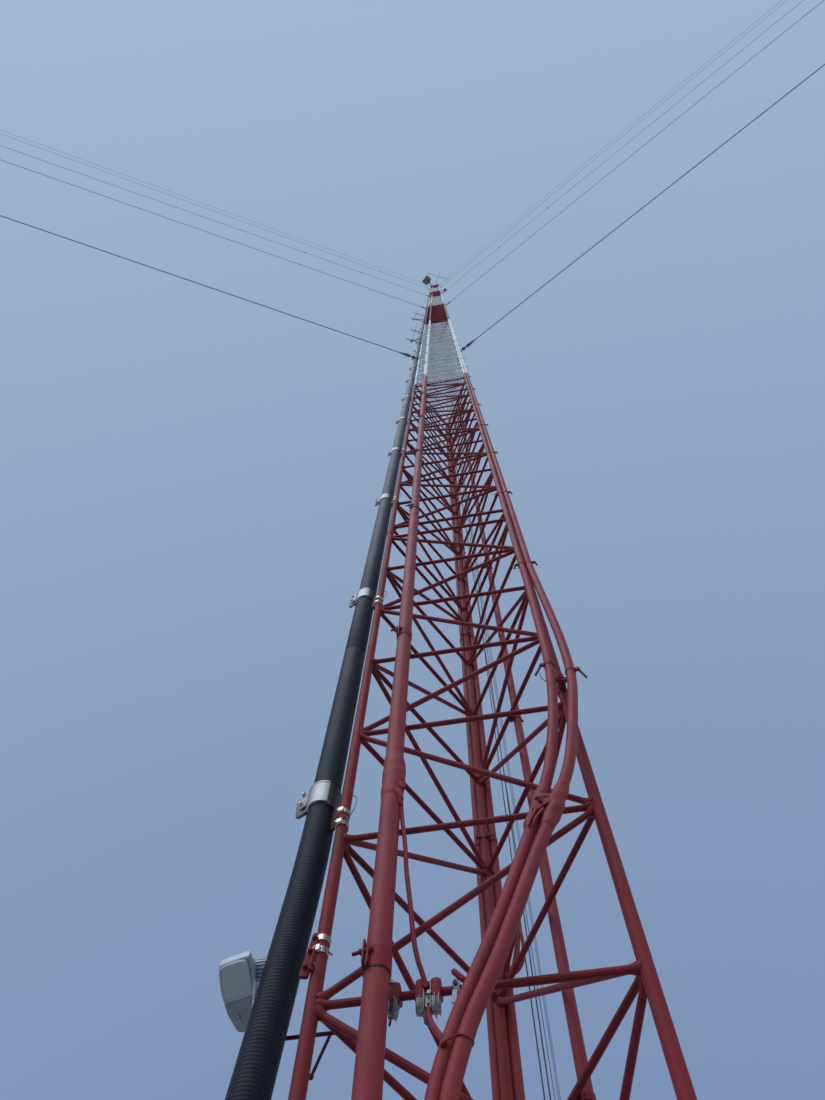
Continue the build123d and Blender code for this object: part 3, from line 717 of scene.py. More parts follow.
ringed = np.arange(coax_low[2], RING_TOP, RING_PITCH / 4)
wave = coax_radius - RING_DEPTH * (0.5 + 0.5 * np.cos(math.tau * ringed / RING_PITCH))
heights = np.append(ringed, np.linspace(RING_TOP, coax_high[2], PLAIN_ROWS))
radii = np.append(wave, np.full(PLAIN_ROWS, coax_radius))
make_piece("black_coax_skin", [tube(coax_line(heights), radii, COAX_CORNERS)], JACKET, "black_coax")

# %% [markdown]
# The coax is held by clamps drawn in two parts: a smooth aluminium band in front and a black one behind, a
# pair of ears with two bolts at the outer side, and an arm towards the leg that two stainless hose bands pull
# tight.
# The black back half is painted shade and dark reflection of the metal band where it turns away from the sky,
# and the arm's darker red is painted shade. A band that goes only part of the way round is an outline of two
# arcs, raised along the height.

# %% Coax clamps
CLAMP_LEVELS, CLAMP_SECTIONS = (1, 4, 7, 10), 4
CLAMP_RISE = 20.7
CLAMP_TURN = 24.0
BAND_HEIGHT, BAND_WALL = 8.8, 0.5
EAR_REACH = 2.9
HOSE_BANDS = (-15.4, -10.6)
HOSE_HEIGHT, HOSE_TURN = 1.5, -12.0


def part_band(inner, outer, low, high, start, end):
    """Part of a band: its outer arc between two angles in degrees, the inner arc back, raised along +Z."""
    angle = np.radians(np.linspace(start - CLAMP_TURN, end - CLAMP_TURN, 37))
    arc = np.column_stack([np.cos(angle), np.sin(angle)])
    return prism(np.vstack([arc * outer, arc[::-1] * inner]), low, high)


def coax_clamp_parts(reach):
    """One clamp about its coax's centre, the leg towards +X: bright half, black half of painted shade, arm,
    wires.
    """
    inside, half = coax_radius + 0.03, BAND_HEIGHT / 2
    ear_x, ear_y = -inside * 0.8 - EAR_REACH / 2, -inside * 0.86
    front = [part_band(inside, inside + BAND_WALL, -half, half, 168, 346),
             part_band(inside, inside + BAND_WALL + 0.12, half - 0.5, half, 170, 344),
             block((EAR_REACH, BAND_HEIGHT * 0.8, 0.9), (-0.25, 0.25, 0.08), (ear_x + 0.5, ear_y, 1.0),
                   (1, -0.12, 0), (0.12, 1, 0)),
             bolt(0.7, 0.62, (ear_x - 0.2, ear_y - 0.2, -0.8), (0.1, -1, 0)),
             bolt(0.7, 0.62, (ear_x + 0.1, ear_y - 0.2, 3.2), (0.1, -1, 0))]
    back = [part_band(inside - 0.02, inside + BAND_WALL * 0.8, -half - 1.0, half - 0.4, 347, 526),
            block((EAR_REACH + 0.8, BAND_HEIGHT, 1.2), (-0.4, 0.4, 0.15),
                  (-inside - EAR_REACH / 2 + 0.4, -inside * 0.66, -0.6), (1, 0, 0.1), BACK)]
    arm = block((reach - inside - leg_radius - 0.2, 0.9, 0.3), (-14.6, -5.0, 0.25),
                ((reach + inside - leg_radius) / 2, 0, 0))
    loop = np.array([(1.4, -0.6, -5.4), (3.0, -0.9, -5.8), (4.3, -1.0, -8.6), (3.9, -1.0, -12.0),
                     (2.4, -0.8, -14.6)])
    end = np.array([(1.2, -1.4, -14.4), (2.4, -1.6, -15.4), (3.0, -1.5, -17.2)])
    return join(*front), join(*back), arm, join(bent(loop + (reach, 0, 0), 0.12),
                                                bent(end + (reach, 0, 0), 0.2))


clamp_heights = (levels[:CLAMP_SECTIONS, CLAMP_LEVELS] + CLAMP_RISE).ravel()
clamp_at = coax_line(clamp_heights)
piles = [], [], [], []
for place, gap in zip(clamp_at, leg_at[0] - clamp_at[:, :2]):
    turn = math.degrees(math.atan2(gap[1], gap[0]))
    for pile, part in zip(piles, coax_clamp_parts(np.linalg.norm(gap))):
        pile.append(repeated(part, place, turn))
make_piece("coax_clamp_bands", piles[0], (cast_aluminium, "clamp_aluminium"), "coax_clamps")
# The black back halves are painted shade and reflection, and the arms' darker red is painted shade.
make_piece("coax_clamp_shaded_backs", piles[1], BLACK)
make_piece("coax_clamp_arms", piles[2], SHADED)
make_piece("coax_clamp_wires", piles[3], BLACK)


def hose_band():
    """A stainless band round the leg with its screw housing towards the front."""
    inside = leg_radius + 0.05
    strap = band((0, 0, 0), UP, inside, inside + 0.16, HOSE_HEIGHT, 0.05, 32)
    housing = block((1.5, 1.5, 0.25), (0, 0.5, 0.15), (0, -inside - 0.1, 0), RIGHT, FRONT)
    screw = turned((-1.0, -inside - 0.35, 0), RIGHT, [(0, 0.34), (0.4, 0.4), (0.5, 0.28), (1.8, 0.28)], 10)
    return join(strap, housing, screw)


band_places = np.vstack([above(leg_at[0], clamp_heights) + (0, 0, rise) for rise in HOSE_BANDS])
make_piece("leg_hose_bands", [repeated(hose_band(), band_places, HOSE_TURN)], STEEL_BAND)

# %% [markdown]
# The painted feeder in front of the face is a cable as thick as a thumb is wide, hung from the horizontals.
# Paint has filled its rings, so its skin is a plain turned profile that is a little uneven, which a wave
# along the height gives.

# %% Front feeder
FEEDER_STEP = 12.0
UNEVEN, LONG_WAVE, SHORT_WAVE = 0.02, 0.057, 0.21

feeder_low, feeder_high = box_of("front_feeder")
feeder_at = (feeder_low[:2] + feeder_high[:2]) / 2
feeder_radius = (feeder_high[1] - feeder_low[1]) / 2
feeder_length = feeder_high[2] - feeder_low[2]
up = np.append(np.arange(0.0, feeder_length, FEEDER_STEP), feeder_length)
skin = feeder_radius - UNEVEN * (0.5 + 0.5 * np.sin(up * SHORT_WAVE) * np.sin(up * LONG_WAVE))
feeder = turned((*feeder_at, feeder_low[2]), UP, np.column_stack([up, skin]), 28)
make_piece("front_feeder_skin", [feeder], FEEDER, "front_feeder")

# %% [markdown]
# Where two lengths of a cable meet, the joint is wrapped in tape and painted over. A wrap is a tube whose
# radius is a field over length and angle: swollen in the middle, with low waves that turn round it as the
# tape does.

# %% Wrapped joints
SPLICE_ROWS, SPLICE_LEAN = 40, 0.3
KNOTS = (((-15.0, -27.4, 359.5), (-14.1, -26.5, 356.4), 0.55),
         ((-14.7, -27.2, 362.5), (-13.8, -26.6, 360.6), 0.5),
         ((-14.6, -26.9, 357.2), (-14.1, -26.0, 354.8), 0.42))


def wrapped(points, radius, swell, turns, lump, corners=24):
    """Tube along points; radius * (swell profile) + lump * sin(turns round + turns along) at each corner."""
    points = np.asarray(points, float)
    along = np.linspace(0, 1, len(points))[:, None]
    angle, twist = spin(corners)[None], turns * math.tau * along
    body = radius * (1 + swell * np.sin(math.pi * along) ** 0.6)
    waves = (lump * (np.sin(angle + twist) + 0.6 * np.sin(2 * angle - 1.7 * twist))
             * np.sin(math.pi * along) ** 0.5)
    directions = round_about(np.gradient(points, axis=0), corners)
    return skins((points[:, None] + (body + waves)[..., None] * directions)[None])


def between(start, end, rows):
    """Points in equal steps from start to end."""
    return np.linspace(np.asarray(start, float), np.asarray(end, float), rows)


splice_low, splice_high = box_of("splice_sleeve")
splice_path = between((*feeder_at, splice_low[2]), (*feeder_at, splice_high[2]), SPLICE_ROWS)
splice_path[:, 0] += SPLICE_LEAN * np.sin(np.linspace(0, math.pi, SPLICE_ROWS))
splice = wrapped(splice_path, feeder_radius - 0.02, 0.24, 2.5, 0.07, 32)
knots = [wrapped(between(start, end, 9), size, 0.5, 1.0, 0.06, 12) for start, end, size in KNOTS]
make_piece("splice_wrap", [splice, *knots], FEEDER, "splice_sleeve")

# %% [markdown]
# A hanger is a split band round the cable. Two ears stand out at its left front, a long bolt pulls them
# together and its spare thread sticks out, and a short rod behind goes to the brace. A black ring just under
# the band and a black block between the ears are painted shadow in the band's gap.

# %% Feeder hangers
HANGER_LEVELS = (0, 3, 6, 9)
HANGER_HEIGHT, HANGER_DROP = 4.8, 0.4
HANGER_TOP_MARGIN = 20
EARS = ((-1.3, 0.1), (-2.15, 1.3))       # x of each ear, and how much taller than the band it is
HANGER_BOLT_HEAD = [(-0.1, 0.5), (0.05, 0.62), (0.6, 0.62), (0.62, 0.8), (0.75, 0.8)]


def split_hanger(radius, height, stand_off):
    """Painted parts about the cable's centre: band, ears, bolt and rod; and black pieces of painted shadow in
    the gap.
    """
    inside = radius + 0.03
    front = -inside - 0.25
    start, tip = np.array([-0.6, front, 1.2]), np.array([-4.25, front, 0.3])
    along, length = tip - start, np.linalg.norm(tip - start)
    painted = [band((0, 0, 0), UP, inside, inside + 0.2, height, 0.06, 40),
               turned(start, along, [(0, 0.38), (length - 0.2, 0.38), (length, 0.28)], 12),
               turned(start + (0.1, 0, 0), along, HANGER_BOLT_HEAD, 12),
               turned(start + along * 0.5, along, [(0, 0.62), (0.5, 0.62)], 6),
               turned((0, inside, 0), BACK,
                      [(0, 0.7), (0.5, 0.7), (0.6, 0.45), (stand_off - inside, 0.45)], 10),
               block((2.6, height * 0.8, 0.5), (0, 0.6, 0.1), (0, stand_off - 0.9, 0), RIGHT, BACK)]
    painted += [block((2.6, height + rise, 0.7), (-0.16, 0.16, 0.05),
                      (x, -inside * 0.78, rise / 2), BACK, RIGHT)
                for x, rise in EARS]
    filler_x = (EARS[0][0] + EARS[1][0]) / 2
    # A black ring under the band and a black block between the ears: painted shadow in the gap.
    painted_shadow = [band((0, 0, -height / 2 - 0.08), UP, inside - 0.02, inside + 0.12, 0.3, 0.03, 40),
              block((1.5, height * 0.9, 0.3), (-0.3, 0.3, 0.05), (filler_x, -inside * 0.72, 0), BACK, RIGHT)]
    return join(*painted), join(*painted_shadow)


hanger_heights = levels[:, HANGER_LEVELS].ravel()
hanger_heights = hanger_heights[hanger_heights < feeder_high[2] - HANGER_TOP_MARGIN] - HANGER_DROP
painted_hanger, hanger_painted_shadow = split_hanger(feeder_radius, HANGER_HEIGHT,
                                             leg_at[0][1] - ROD_RADIUS - feeder_at[1])
hanger_places = above(feeder_at, hanger_heights)
make_piece("front_hanger_bands", [repeated(painted_hanger, hanger_places)], PAINT, "front_hangers")
make_piece("front_hanger_painted_shadows", [repeated(hanger_painted_shadow, hanger_places)], BLACK)

# %% [markdown]
# Two thinner feeders cross from the middle of the face to the right leg. They hang in a long bow, part around
# the leg's bracket and close again, so each is a tube along a smooth curve through points read off the
# photograph.

# %% Pair of crossing feeders
PAIR_CORNERS, PAIR_RADIUS = 20, 1.4
PAIR_FRONT, LEG_Y = -25.6, -21.9
INNER_X, OUTER_X = 29.05, 31.95      # where the two run up beside the right leg
TOP_FROM, TOP_CLOSER = 700, 0.05

(_, _, pair_foot), (_, _, inner_top) = box_of("inner_feeder")
outer_top = box_of("outer_feeder")[1][2]
INNER_POINTS = (
    (-9.4, PAIR_FRONT, pair_foot), (-9.4, PAIR_FRONT, 180), (-9.2, PAIR_FRONT, 240), (-7.6, PAIR_FRONT, 272),
    (-3.8, PAIR_FRONT, 290), (4.6, PAIR_FRONT, 312), (10.9, PAIR_FRONT, 330), (17.0, -25.5, 349),
    (21.6, -25.4, 366), (25.6, -25.0, 392), (27.7, -24.6, 416), (28.4, -24.2, 438), (28.8, -23.6, 470),
    (29.1, -22.6, 500), (INNER_X, LEG_Y, 522), (INNER_X, LEG_Y, 560), (INNER_X, LEG_Y, 640),
)
OUTER_POINTS = (
    (-7.3, -27.7, pair_foot), (-7.3, -27.7, 180), (-7.0, -27.7, 240), (-5.2, -27.6, 270),
    (-1.2, -27.5, 288), (5.4, -27.2, 305), (13.6, -26.8, 328), (20.6, -26.4, 347), (26.3, -26.1, 365),
    (31.0, -25.6, 392), (33.2, -25.2, 411), (33.7, -24.7, 436), (33.1, -24.0, 466), (32.4, -23.0, 495),
    (OUTER_X, LEG_Y, 522), (OUTER_X, LEG_Y, 560), (OUTER_X, LEG_Y, 640),
)


def pair_path(points, top_x, top_z):
    """The curve through the points, and the straight run above it."""
    return np.vstack([curve(points, 8), between((top_x, LEG_Y, TOP_FROM), (top_x, LEG_Y, top_z), 40)])


inner_path = pair_path(INNER_POINTS, INNER_X + TOP_CLOSER, inner_top)
outer_path = pair_path(OUTER_POINTS, OUTER_X - TOP_CLOSER, outer_top)
make_piece("inner_feeder_skin", [tube(inner_path, PAIR_RADIUS, PAIR_CORNERS)], FEEDER, "inner_feeder")
make_piece("outer_feeder_skin", [tube(outer_path, PAIR_RADIUS, PAIR_CORNERS)], FEEDER, "outer_feeder")

# %% [markdown]
# Halfway across, the outer feeder is spliced: a fat wrap of tape, a webbing strap drawn tight round both
# cables, and its torn ends. Lower down a thin tie holds both. A strap is a flat band whose outline runs round
# an oval loop.

# %% Wraps and ties on the pair
TIE_POINTS = ((-5.4, -26.6, 287.6), (-4.6, -27.2, 287.6), (-3.0, -28.4, 287.4), (-1.8, -29.1, 286.9),
              (-0.9, -28.9, 286.6), (-0.1, -27.6, 286.7), (-0.6, -26.2, 287.0), (-2.6, -24.3, 287.4),
              (-4.6, -23.9, 287.6), (-5.9, -25.0, 287.6), (-5.4, -26.6, 287.6))
TAIL_POINTS = (((16.9, -27.4, 346.3), (15.4, -27.9, 342.6), (13.9, -27.2, 339.4)),
               ((17.6, -27.6, 344.2), (15.9, -28.1, 341.1), (14.7, -27.7, 338.6)),
               ((14.6, -26.0, 343.8), (13.3, -26.4, 341.9), (12.9, -26.3, 340.4)))
GAP_HEIGHTS = ((338.5, 343.0), (345.0, 347.5), (351.0, 354.0))


def on_path(path, height):
    """The point of a path where it passes a height."""
    return np.array([np.interp(height, path[:, 2], path[:, axis]) for axis in range(3)])


def stretch(path, low, high, rows):
    """Points of a path between two heights."""
    return np.array([on_path(path, height) for height in np.linspace(low, high, rows)])


def loop_band(centre, across, over, reach, lift, width, thick, corners=48, power=0.62):
    """Flat band round two cables, wide along the cross product of its two directions:
    centre + reach * cos^p t * across + lift * sin^p t * over."""
    across, over, angle = unit(across), unit(over), spin(corners)
    outline = np.array([(0, -width / 2), (thick, -width / 2), (thick, width / 2), (0, width / 2)])
    direction = np.cos(angle)[:, None] * across + np.sin(angle)[:, None] * over
    cos, sin = (np.sign(wave) * np.abs(wave) ** power for wave in (np.cos(angle), np.sin(angle)))
    centre_line = np.asarray(centre, float) + cos[:, None] * reach * across + sin[:, None] * lift * over
    points = (centre_line[:, None] + outline[None, :, :1] * direction[:, None]
              + outline[None, :, 1:] * np.cross(across, over))
    return closed_skins(points[None])


outer_wrap = wrapped(stretch(outer_path, 338.5, 354.5, 36), PAIR_RADIUS - 0.02, 0.42, 2.0, 0.13, 24)
inner_wrap = wrapped(stretch(inner_path, 339.0, 355.0, 30), PAIR_RADIUS - 0.02, 0.34, 1.6, 0.1, 20)
strap_middle = (on_path(inner_path, 346) + on_path(outer_path, 346)) / 2
slope = unit(on_path(outer_path, 356) - on_path(outer_path, 336))
strap = loop_band(strap_middle, (0.82, 0, 0.57), BACK, 3.3, 2.1, 1.5, 0.16)
cross_strap = loop_band(strap_middle + slope * 2.4, (0.95, 0, -0.3), BACK, 2.9, 2.2, 1.0, 0.14)
tie_knot = turned((-5.3, -26.9, 287.2), (0.6, -0.5, 0.1), [(0.0, 0.35), (0.3, 0.55), (0.9, 0.5), (1.2, 0.25)],
                  10)
make_piece("pair_wraps", [outer_wrap, inner_wrap, strap, cross_strap], FEEDER)
make_piece("pair_lower_tie", [bent(TIE_POINTS, 0.15, 8), tie_knot], FEEDER)
tails = [curve(points, 5) for points in TAIL_POINTS]
make_piece("torn_strap_ends", [tube(path, np.linspace(0.42, 0.2, len(path)), 8) for path in tails], FEEDER)
strap_screw = turned((17.3, -28.3, 346.0), (-0.1, -1, -0.1), [(0, 0.5), (0.35, 0.5), (0.5, 0.3)], 8)
# The thin dark tubes in the wraps' gaps are painted shadow; the screw takes the same shaded red.
shadow_gaps = [wrapped(stretch(inner_path, low, high, 12) + (1.4, -0.7, 0), 0.22, 0.5, 0.7, 0.05, 8)
             for low, high in GAP_HEIGHTS]
make_piece("strap_screw_and_shadow_gaps", [strap_screw, *shadow_gaps], SHADED)

# %% [markdown]
# Above, the pair hangs from the right leg: a bar behind the cables, a thin band round each with its bolt
# standing out sideways, and the loose ends of tie wire. Every hanger is the same shape, put at each height,
# and the first one sits a little lower than the others' spacing gives.

# %% Pair hangers
HANGERS_FROM, HANGER_PITCH, HANGER_COUNT = 10.4 + 0.1, 2.2, 12     # in bays
FIRST_LOWER = 10.5


def cable_band(x, y, side, tail):
    """Band round one cable at (x, y, 0), with a pinch and a dark bolt that stands out to its side."""
    inside = PAIR_RADIUS + 0.03
    round_it = band((x, y, 0), UP, inside, inside + 0.16, 1.0, 0.05, 24)
    pinch = block((1.4, 1.5, 0.35), (-0.4, 0.4, 0.1), (x + side * (inside + 0.5), y - 0.7, 0.05),
                  (side, -0.6, 0), BACK)
    shank = turned((x + side * (inside + 0.6), y - 1.1, 0.0), (side * tail, 1.4 * tail, -0.3),
                   [(0, 0.34), (0.3, 0.55), (0.8, 0.55), (0.9, 0.34), (tail * 1.72, 0.34)], 10)
    return join(round_it, pinch), shank


leg_x, leg_y = leg_at[1]
upper_heights = levels[0, 0] + (HANGERS_FROM + HANGER_PITCH * np.arange(HANGER_COUNT)) * bay
upper_heights[0] -= FIRST_LOWER
upper_bands, upper_bolts = zip(cable_band(INNER_X, LEG_Y, -1, 1.3), cable_band(OUTER_X, LEG_Y, 1, 1.3))
saddle = block((5.0, 2.0, 0.4), (0, 1.25, 0.15), (leg_x, LEG_Y + PAIR_RADIUS + 0.05, 0), RIGHT, BACK)
leg_band = band((leg_x, leg_y, 0), UP, leg_radius + 0.04, leg_radius + 0.2, 1.1, 0.05, 28)
loose = [bent([(28.0, LEG_Y - 0.4, 0.4), (25.6, LEG_Y - 0.6, 0.1), (24.2, LEG_Y - 0.2, 1.5)], 0.11, 6, 7),
         bent([(28.2, LEG_Y + 0.6, -0.5), (26.2, LEG_Y + 0.5, -1.1), (25.2, LEG_Y + 0.4, -0.7)], 0.11, 6, 7)]
places = above((0, 0), upper_heights)
make_piece("pair_hanger_bands", [repeated(join(*upper_bands, saddle, leg_band), places)], PAINT,
           "pair_hangers")
make_piece("pair_hanger_bolts", [repeated(join(*upper_bolts, *loose), places)], BLACK)

# %% [markdown]
# Where the pair parts, a yoke on the leg holds the two cables: a bar with three nuts, a band round the leg,
# and a band round each cable.

# %% Yoke
YOKE_HEIGHT = 414.0
YOKE_NUTS = (-0.6, 1.0, -2.6)
YOKE_WIRES = (((24.6, -25.2, 416.4), (24.6, -25.0, 411.4), (26.2, -24.6, 408.2)),
              ((28.6, -24.4, 404.6), (29.6, -23.6, 403.4), (30.6, -22.8, 402.9)))

yoke_y = leg_y - leg_radius
yoke = [block((6.4, 1.7, 0.4), (0, 1.0, 0.15), (leg_x + 0.1, yoke_y - 3.4, YOKE_HEIGHT), (1, 0, -0.35), BACK),
        block((2.2, 3.4, 0.4), (0, 2.9, 0.15), (leg_x, yoke_y - 3.0, YOKE_HEIGHT), RIGHT, BACK),
        band((leg_x, leg_y, YOKE_HEIGHT), UP, leg_radius + 0.04, leg_radius + 0.22, 2.4, 0.05, 28)]
yoke += [bolt(0.8, 0.62, (leg_x + 0.2, yoke_y - 3.5, YOKE_HEIGHT + rise), FRONT) for rise in YOKE_NUTS]
yoke_bolts = [bent(points, 0.13, 6, 7) for points in YOKE_WIRES]
for path, rise, side in ((inner_path, 4.6, -1), (outer_path, -2.6, 1)):
    x, y, z = on_path(path, YOKE_HEIGHT + rise)
    ring, shank = cable_band(x, y, side, 2.4)
    yoke.append(repeated(ring, (0, 0, z)))
    yoke_bolts.append(repeated(shank, (0, 0, z)))
make_piece("yoke_and_bands", yoke, PAINT)
make_piece("yoke_bolts_and_wire", yoke_bolts, BLACK)

# %% [markdown]
# Behind the rear leg run two more feeders, and a third runs up the rear right face. Two thin safety wires
# hang beside them and sway a little, which two sine waves of the height give.

# %% Feeders and wires at the rear leg
REAR_PLACES, REAR_RADIUS = ((-2.2, 2.4), (2.55, 1.2)), 1.36
WIRE_RADIUS, WIRE_ROWS, WIRE_INSET = 0.2, 150, 0.35
SWAY_X, SWAY_Y = (0.35, 97.0), (0.2, 61.0)      # reach of each wave, and its length over 2 pi

rear_low, rear_high = box_of("rear_leg_feeders")
rear_length = rear_high[2] - rear_low[2]
rear_rows = [(0.0, REAR_RADIUS), (rear_length / 2, REAR_RADIUS), (rear_length, REAR_RADIUS)]
rear_starts = [(*(leg_at[2] + place), rear_low[2]) for place in REAR_PLACES]
make_piece("rear_feeder_skins", [turned(rear_starts, UP, rear_rows, 18)], FEEDER, "rear_leg_feeders")
face_low, face_high = box_of("rear_face_feeder")
face_at = (face_low[:2] + face_high[:2]) / 2
face_feeder = turned((*face_at, face_low[2]), UP, rear_rows, 18)
make_piece("rear_face_feeder_skin", [face_feeder], FEEDER, "rear_face_feeder")

wire_low, wire_high = box_of("safety_wires")
wire_x, wire_y = (wire_low[0] + WIRE_INSET, wire_high[0] - WIRE_INSET), (wire_low[1] + wire_high[1]) / 2
wire_rows = np.linspace(wire_low[2], wire_high[2], WIRE_ROWS)
sway = np.column_stack([reach * np.sin(wire_rows / wave) for reach, wave in (SWAY_X, SWAY_Y)]
                       + [np.zeros(WIRE_ROWS)])
wire_lines = [tube(above((x, wire_y), wire_rows) + sway, WIRE_RADIUS, 6) for x in wire_x]
make_piece("safety_wire_pair", wire_lines, STAY, "safety_wires")

# %% [markdown]
# A strap holds two of the feeders to the rear leg, with a hoop round the leg and two lugs in front. The wires
# are kept off by small arms a little above the straps, and the third feeder has a band and a plate of its own
# at each level.

# %% Straps at the rear leg
REAR_LEVELS, REAR_MARGIN = (0, 3, 6, 9), 10
STRAP_RISE = -33.0
ARMS_ABOVE = 16.0
FACE_TURN = math.radians(30)


def feeder_band(place, height):
    """A thin band round one rear feeder."""
    return band((*place, 0), UP, REAR_RADIUS + 0.03, REAR_RADIUS + 0.22, height, 0.05, 24)


back_x, back_y = leg_at[2]
plate_y = back_y + REAR_PLACES[0][1] + REAR_RADIUS
strap_parts = [block((7.4, 2.2, 0.5), (0, 0.6, 0.1), (0.6, plate_y + 0.05, 0), RIGHT, BACK),
               band((back_x, back_y, 0), UP, leg_radius + 0.03, leg_radius + 0.2, 1.3, 0.05, 28)]
strap_parts += [feeder_band(leg_at[2] + place, 1.6) for place in REAR_PLACES]
strap_parts += [bolt(0.7, 0.5, (x, plate_y + 0.6, 0), BACK) for x in (-2.2, 0.4, 2.9)]
strap_parts += [block((1.5, 1.6, 0.3), (-0.5, 0.5, 0.1), (x, back_y - 1.6, 0), (1, -0.4, 0), (0, 1, 0.2))
                for x in (1.5, -1.9)]
front_bolts = rods([(0.9, back_y - 2.1, 0.1), (-2.4, back_y - 1.5, -0.2)],
                   [(3.4, back_y - 1.6, -0.7), (-2.7, back_y - 1.1, -2.4)], 0.3, 8)
stand_off = [rods((4.0, wire_y, 0), (wire_high[0] + 0.3, wire_y, -0.5), 0.18, 8)]
stand_off += [band((x, wire_y, 0), UP, 0.24, 0.5, 0.9, 0.06, 14) for x in wire_x]
strap_levels = levels[:, REAR_LEVELS].ravel() + STRAP_RISE
strap_levels = strap_levels[(strap_levels > rear_low[2] + REAR_MARGIN)
                            & (strap_levels < rear_high[2] - REAR_MARGIN)]
strap_places = above((0, 0), strap_levels)
make_piece("rear_leg_straps", [repeated(join(*strap_parts), strap_places)], PAINT, "rear_hangers")
make_piece("rear_strap_bolts", [repeated(front_bolts, strap_places)], BLACK)
make_piece("wire_stand_offs", [repeated(join(*stand_off), strap_places + (0, 0, ARMS_ABOVE))], ZINC)

face_out = np.array([math.cos(FACE_TURN), math.sin(FACE_TURN)])
face_plate = block((2.8, 3.0, 0.5), (0, 0.7, 0.1), (*(face_at - face_out * (REAR_RADIUS + 0.85)), 0),
                   (-face_out[1], face_out[0], 0), (*face_out, 0))
face_bolt = bolt(0.7, 0.5, (*(face_at + face_out * (REAR_RADIUS + 0.15)), 0), (*face_out, 0), UP)
face_places = strap_places - (0, 0, STRAP_RISE)
face_places = face_places[face_places[:, 2] < rear_high[2] - REAR_MARGIN]
make_piece("rear_face_straps",
           [repeated(join(feeder_band(face_at, 1.8), face_plate, face_bolt), face_places)], PAINT)

# %% [markdown]
# A spare end of cable hangs at the rear leg in a coil. Each turn is shaped like a drop, widest low down:
# while the height goes up and down with a cosine, the width is a sine of pi times that rise to the power
# 0.55.

# %% Spare coil
COIL_TURNS, COIL_ROWS = 4, 64
# width of each turn on either side
COIL_RIGHT, COIL_LEFT = (3.45, 1.75, 1.0, -0.55), (-0.9, -1.6, -2.2, -2.9)
COIL_START, COIL_SPAN, COIL_STEP = (2.9, 31.4, 360.4), (4.5, 0, 19.4), (0, 0.5, 0.3)
COIL_TIES = ((3.0, 361.0), (7.3, 380.4))
COIL_HOOK = ((7.4, 32.4, 381.0), (5.0, 33.6, 383.6), (1.6, 34.8, 383.0))

turn_angle = np.linspace(0, math.tau * COIL_TURNS, COIL_ROWS * COIL_TURNS)
turn_number = np.minimum((turn_angle / math.tau).astype(int), COIL_TURNS - 1)
coil_wide = np.where(np.sin(turn_angle) > 0, np.take(COIL_RIGHT, turn_number),
                     np.take(COIL_LEFT, turn_number))
coil_rise = (1 - np.cos(turn_angle)) / 2
coil_path = (np.array(COIL_START) + coil_rise[:, None] * COIL_SPAN
             + (turn_angle / math.tau)[:, None] * COIL_STEP)
coil_path[:, 0] += coil_wide * np.sin(math.pi * coil_rise**0.55)
coil = [tube(coil_path, 0.5, 10), bent(COIL_HOOK, 0.4, 8)]
coil += [loop_band((x, 32.4, height), BACK, UP, 1.9, 1.3, 0.9, 0.15) for x, height in COIL_TIES]
make_piece("spare_cable_coil", coil, FEEDER)

# %% [markdown]
# Three clamps on one horizontal earth the cables. Two are pairs of rounded bronze cheeks hooked over the rod,
# and whoever painted the mast went over their tops only, so the lower halves are still dull metal. The third
# is a small ring clamp. A cheek is an outline in y and z, round over the rod and tapering below it, raised
# along x. All of it is drawn about the rod's middle and then moved there.

# %% Grounding clamps
CLAMP_BAY = 6
PAINTED_DOWN_TO = -2.9
CHEEKS = ((-15.95, -14.05), (-10.95, -9.35), (-8.15, -6.5))
CHEEK_ROUND, CHEEK_GAP = 2.5, 0.12
TOP_OUTLINE = ((-2.45, PAINTED_DOWN_TO), (-0.9, PAINTED_DOWN_TO), (0.6, -2.0), (2.2, -0.5))
BOTTOM_OUTLINE = ((0.3, -2.0), (-2.3, -2.0), (-2.3, -4.8), (-2.0, -5.7), (-1.6, -6.0), (-1.0, -6.0),
                  (-0.6, -4.8))
# x, lower end, upper end and depth of each plate between the cheeks
CLAMP_PLATES = ((-10.3, -5.7, -2.2, 2.2), (-9.5, -5.9, -0.4, 1.9), (-8.3, -5.8, 0.6, 1.9),
                (-7.5, -6.2, -2.4, 2.7), (-6.75, -5.8, -2.2, 2.3), (-14.7, -5.9, -2.2, 2.5))
clamp_at = np.array([0, leg_at[0][1], levels[0, CLAMP_BAY]])


def cheek(outline, x_low, x_high, bevel):
    """An outline of (y, z) raised from x_low to x_high."""
    return placed(prism(outline, 0, x_high - x_low, bevel), (x_low, 0, 0), BACK, RIGHT)


arch = CHEEK_ROUND * np.column_stack([np.cos(np.linspace(0, math.pi, 15)),
                                      np.sin(np.linspace(0, math.pi, 15))])
top_outline = np.vstack([arch, TOP_OUTLINE])
tops = [cheek(top_outline, low, high, 0.5) for low, high in CHEEKS]
points, *bridge_faces = cheek(top_outline, -9.5, -8.0, 0.5)
tops.append((points * (1, 0.8, 0.8), *bridge_faces))
bodies = [cheek(BOTTOM_OUTLINE, low + CHEEK_GAP, high - CHEEK_GAP, 0.25) for low, high in CHEEKS]
bodies += [block((depth, high - low, 0.4), (0, 0.22, 0.05), (x, -1.4, (low + high) / 2), BACK, RIGHT)
           for x, low, high, depth in CLAMP_PLATES]
bodies.append(block((1.5, 4.4, 0.3), (0, 0.5, 0.1), (-8.7, -1.3, -2.6), RIGHT, FRONT))
bare = [bolt(0.7, 0.5, (-8.4, -1.8, -2.1), (0, -1, -0.2)),
        turned((-15.5, -2.0, 1.2), (0.05, -1, 0.2), [(0, 0.6), (0.5, 0.6), (0.6, 0.42)], 8),
        band((-8.5, -1.8, -4.6), (0, 1, 0.2), 0.42, 0.72, 0.6, 0.1, 20)]
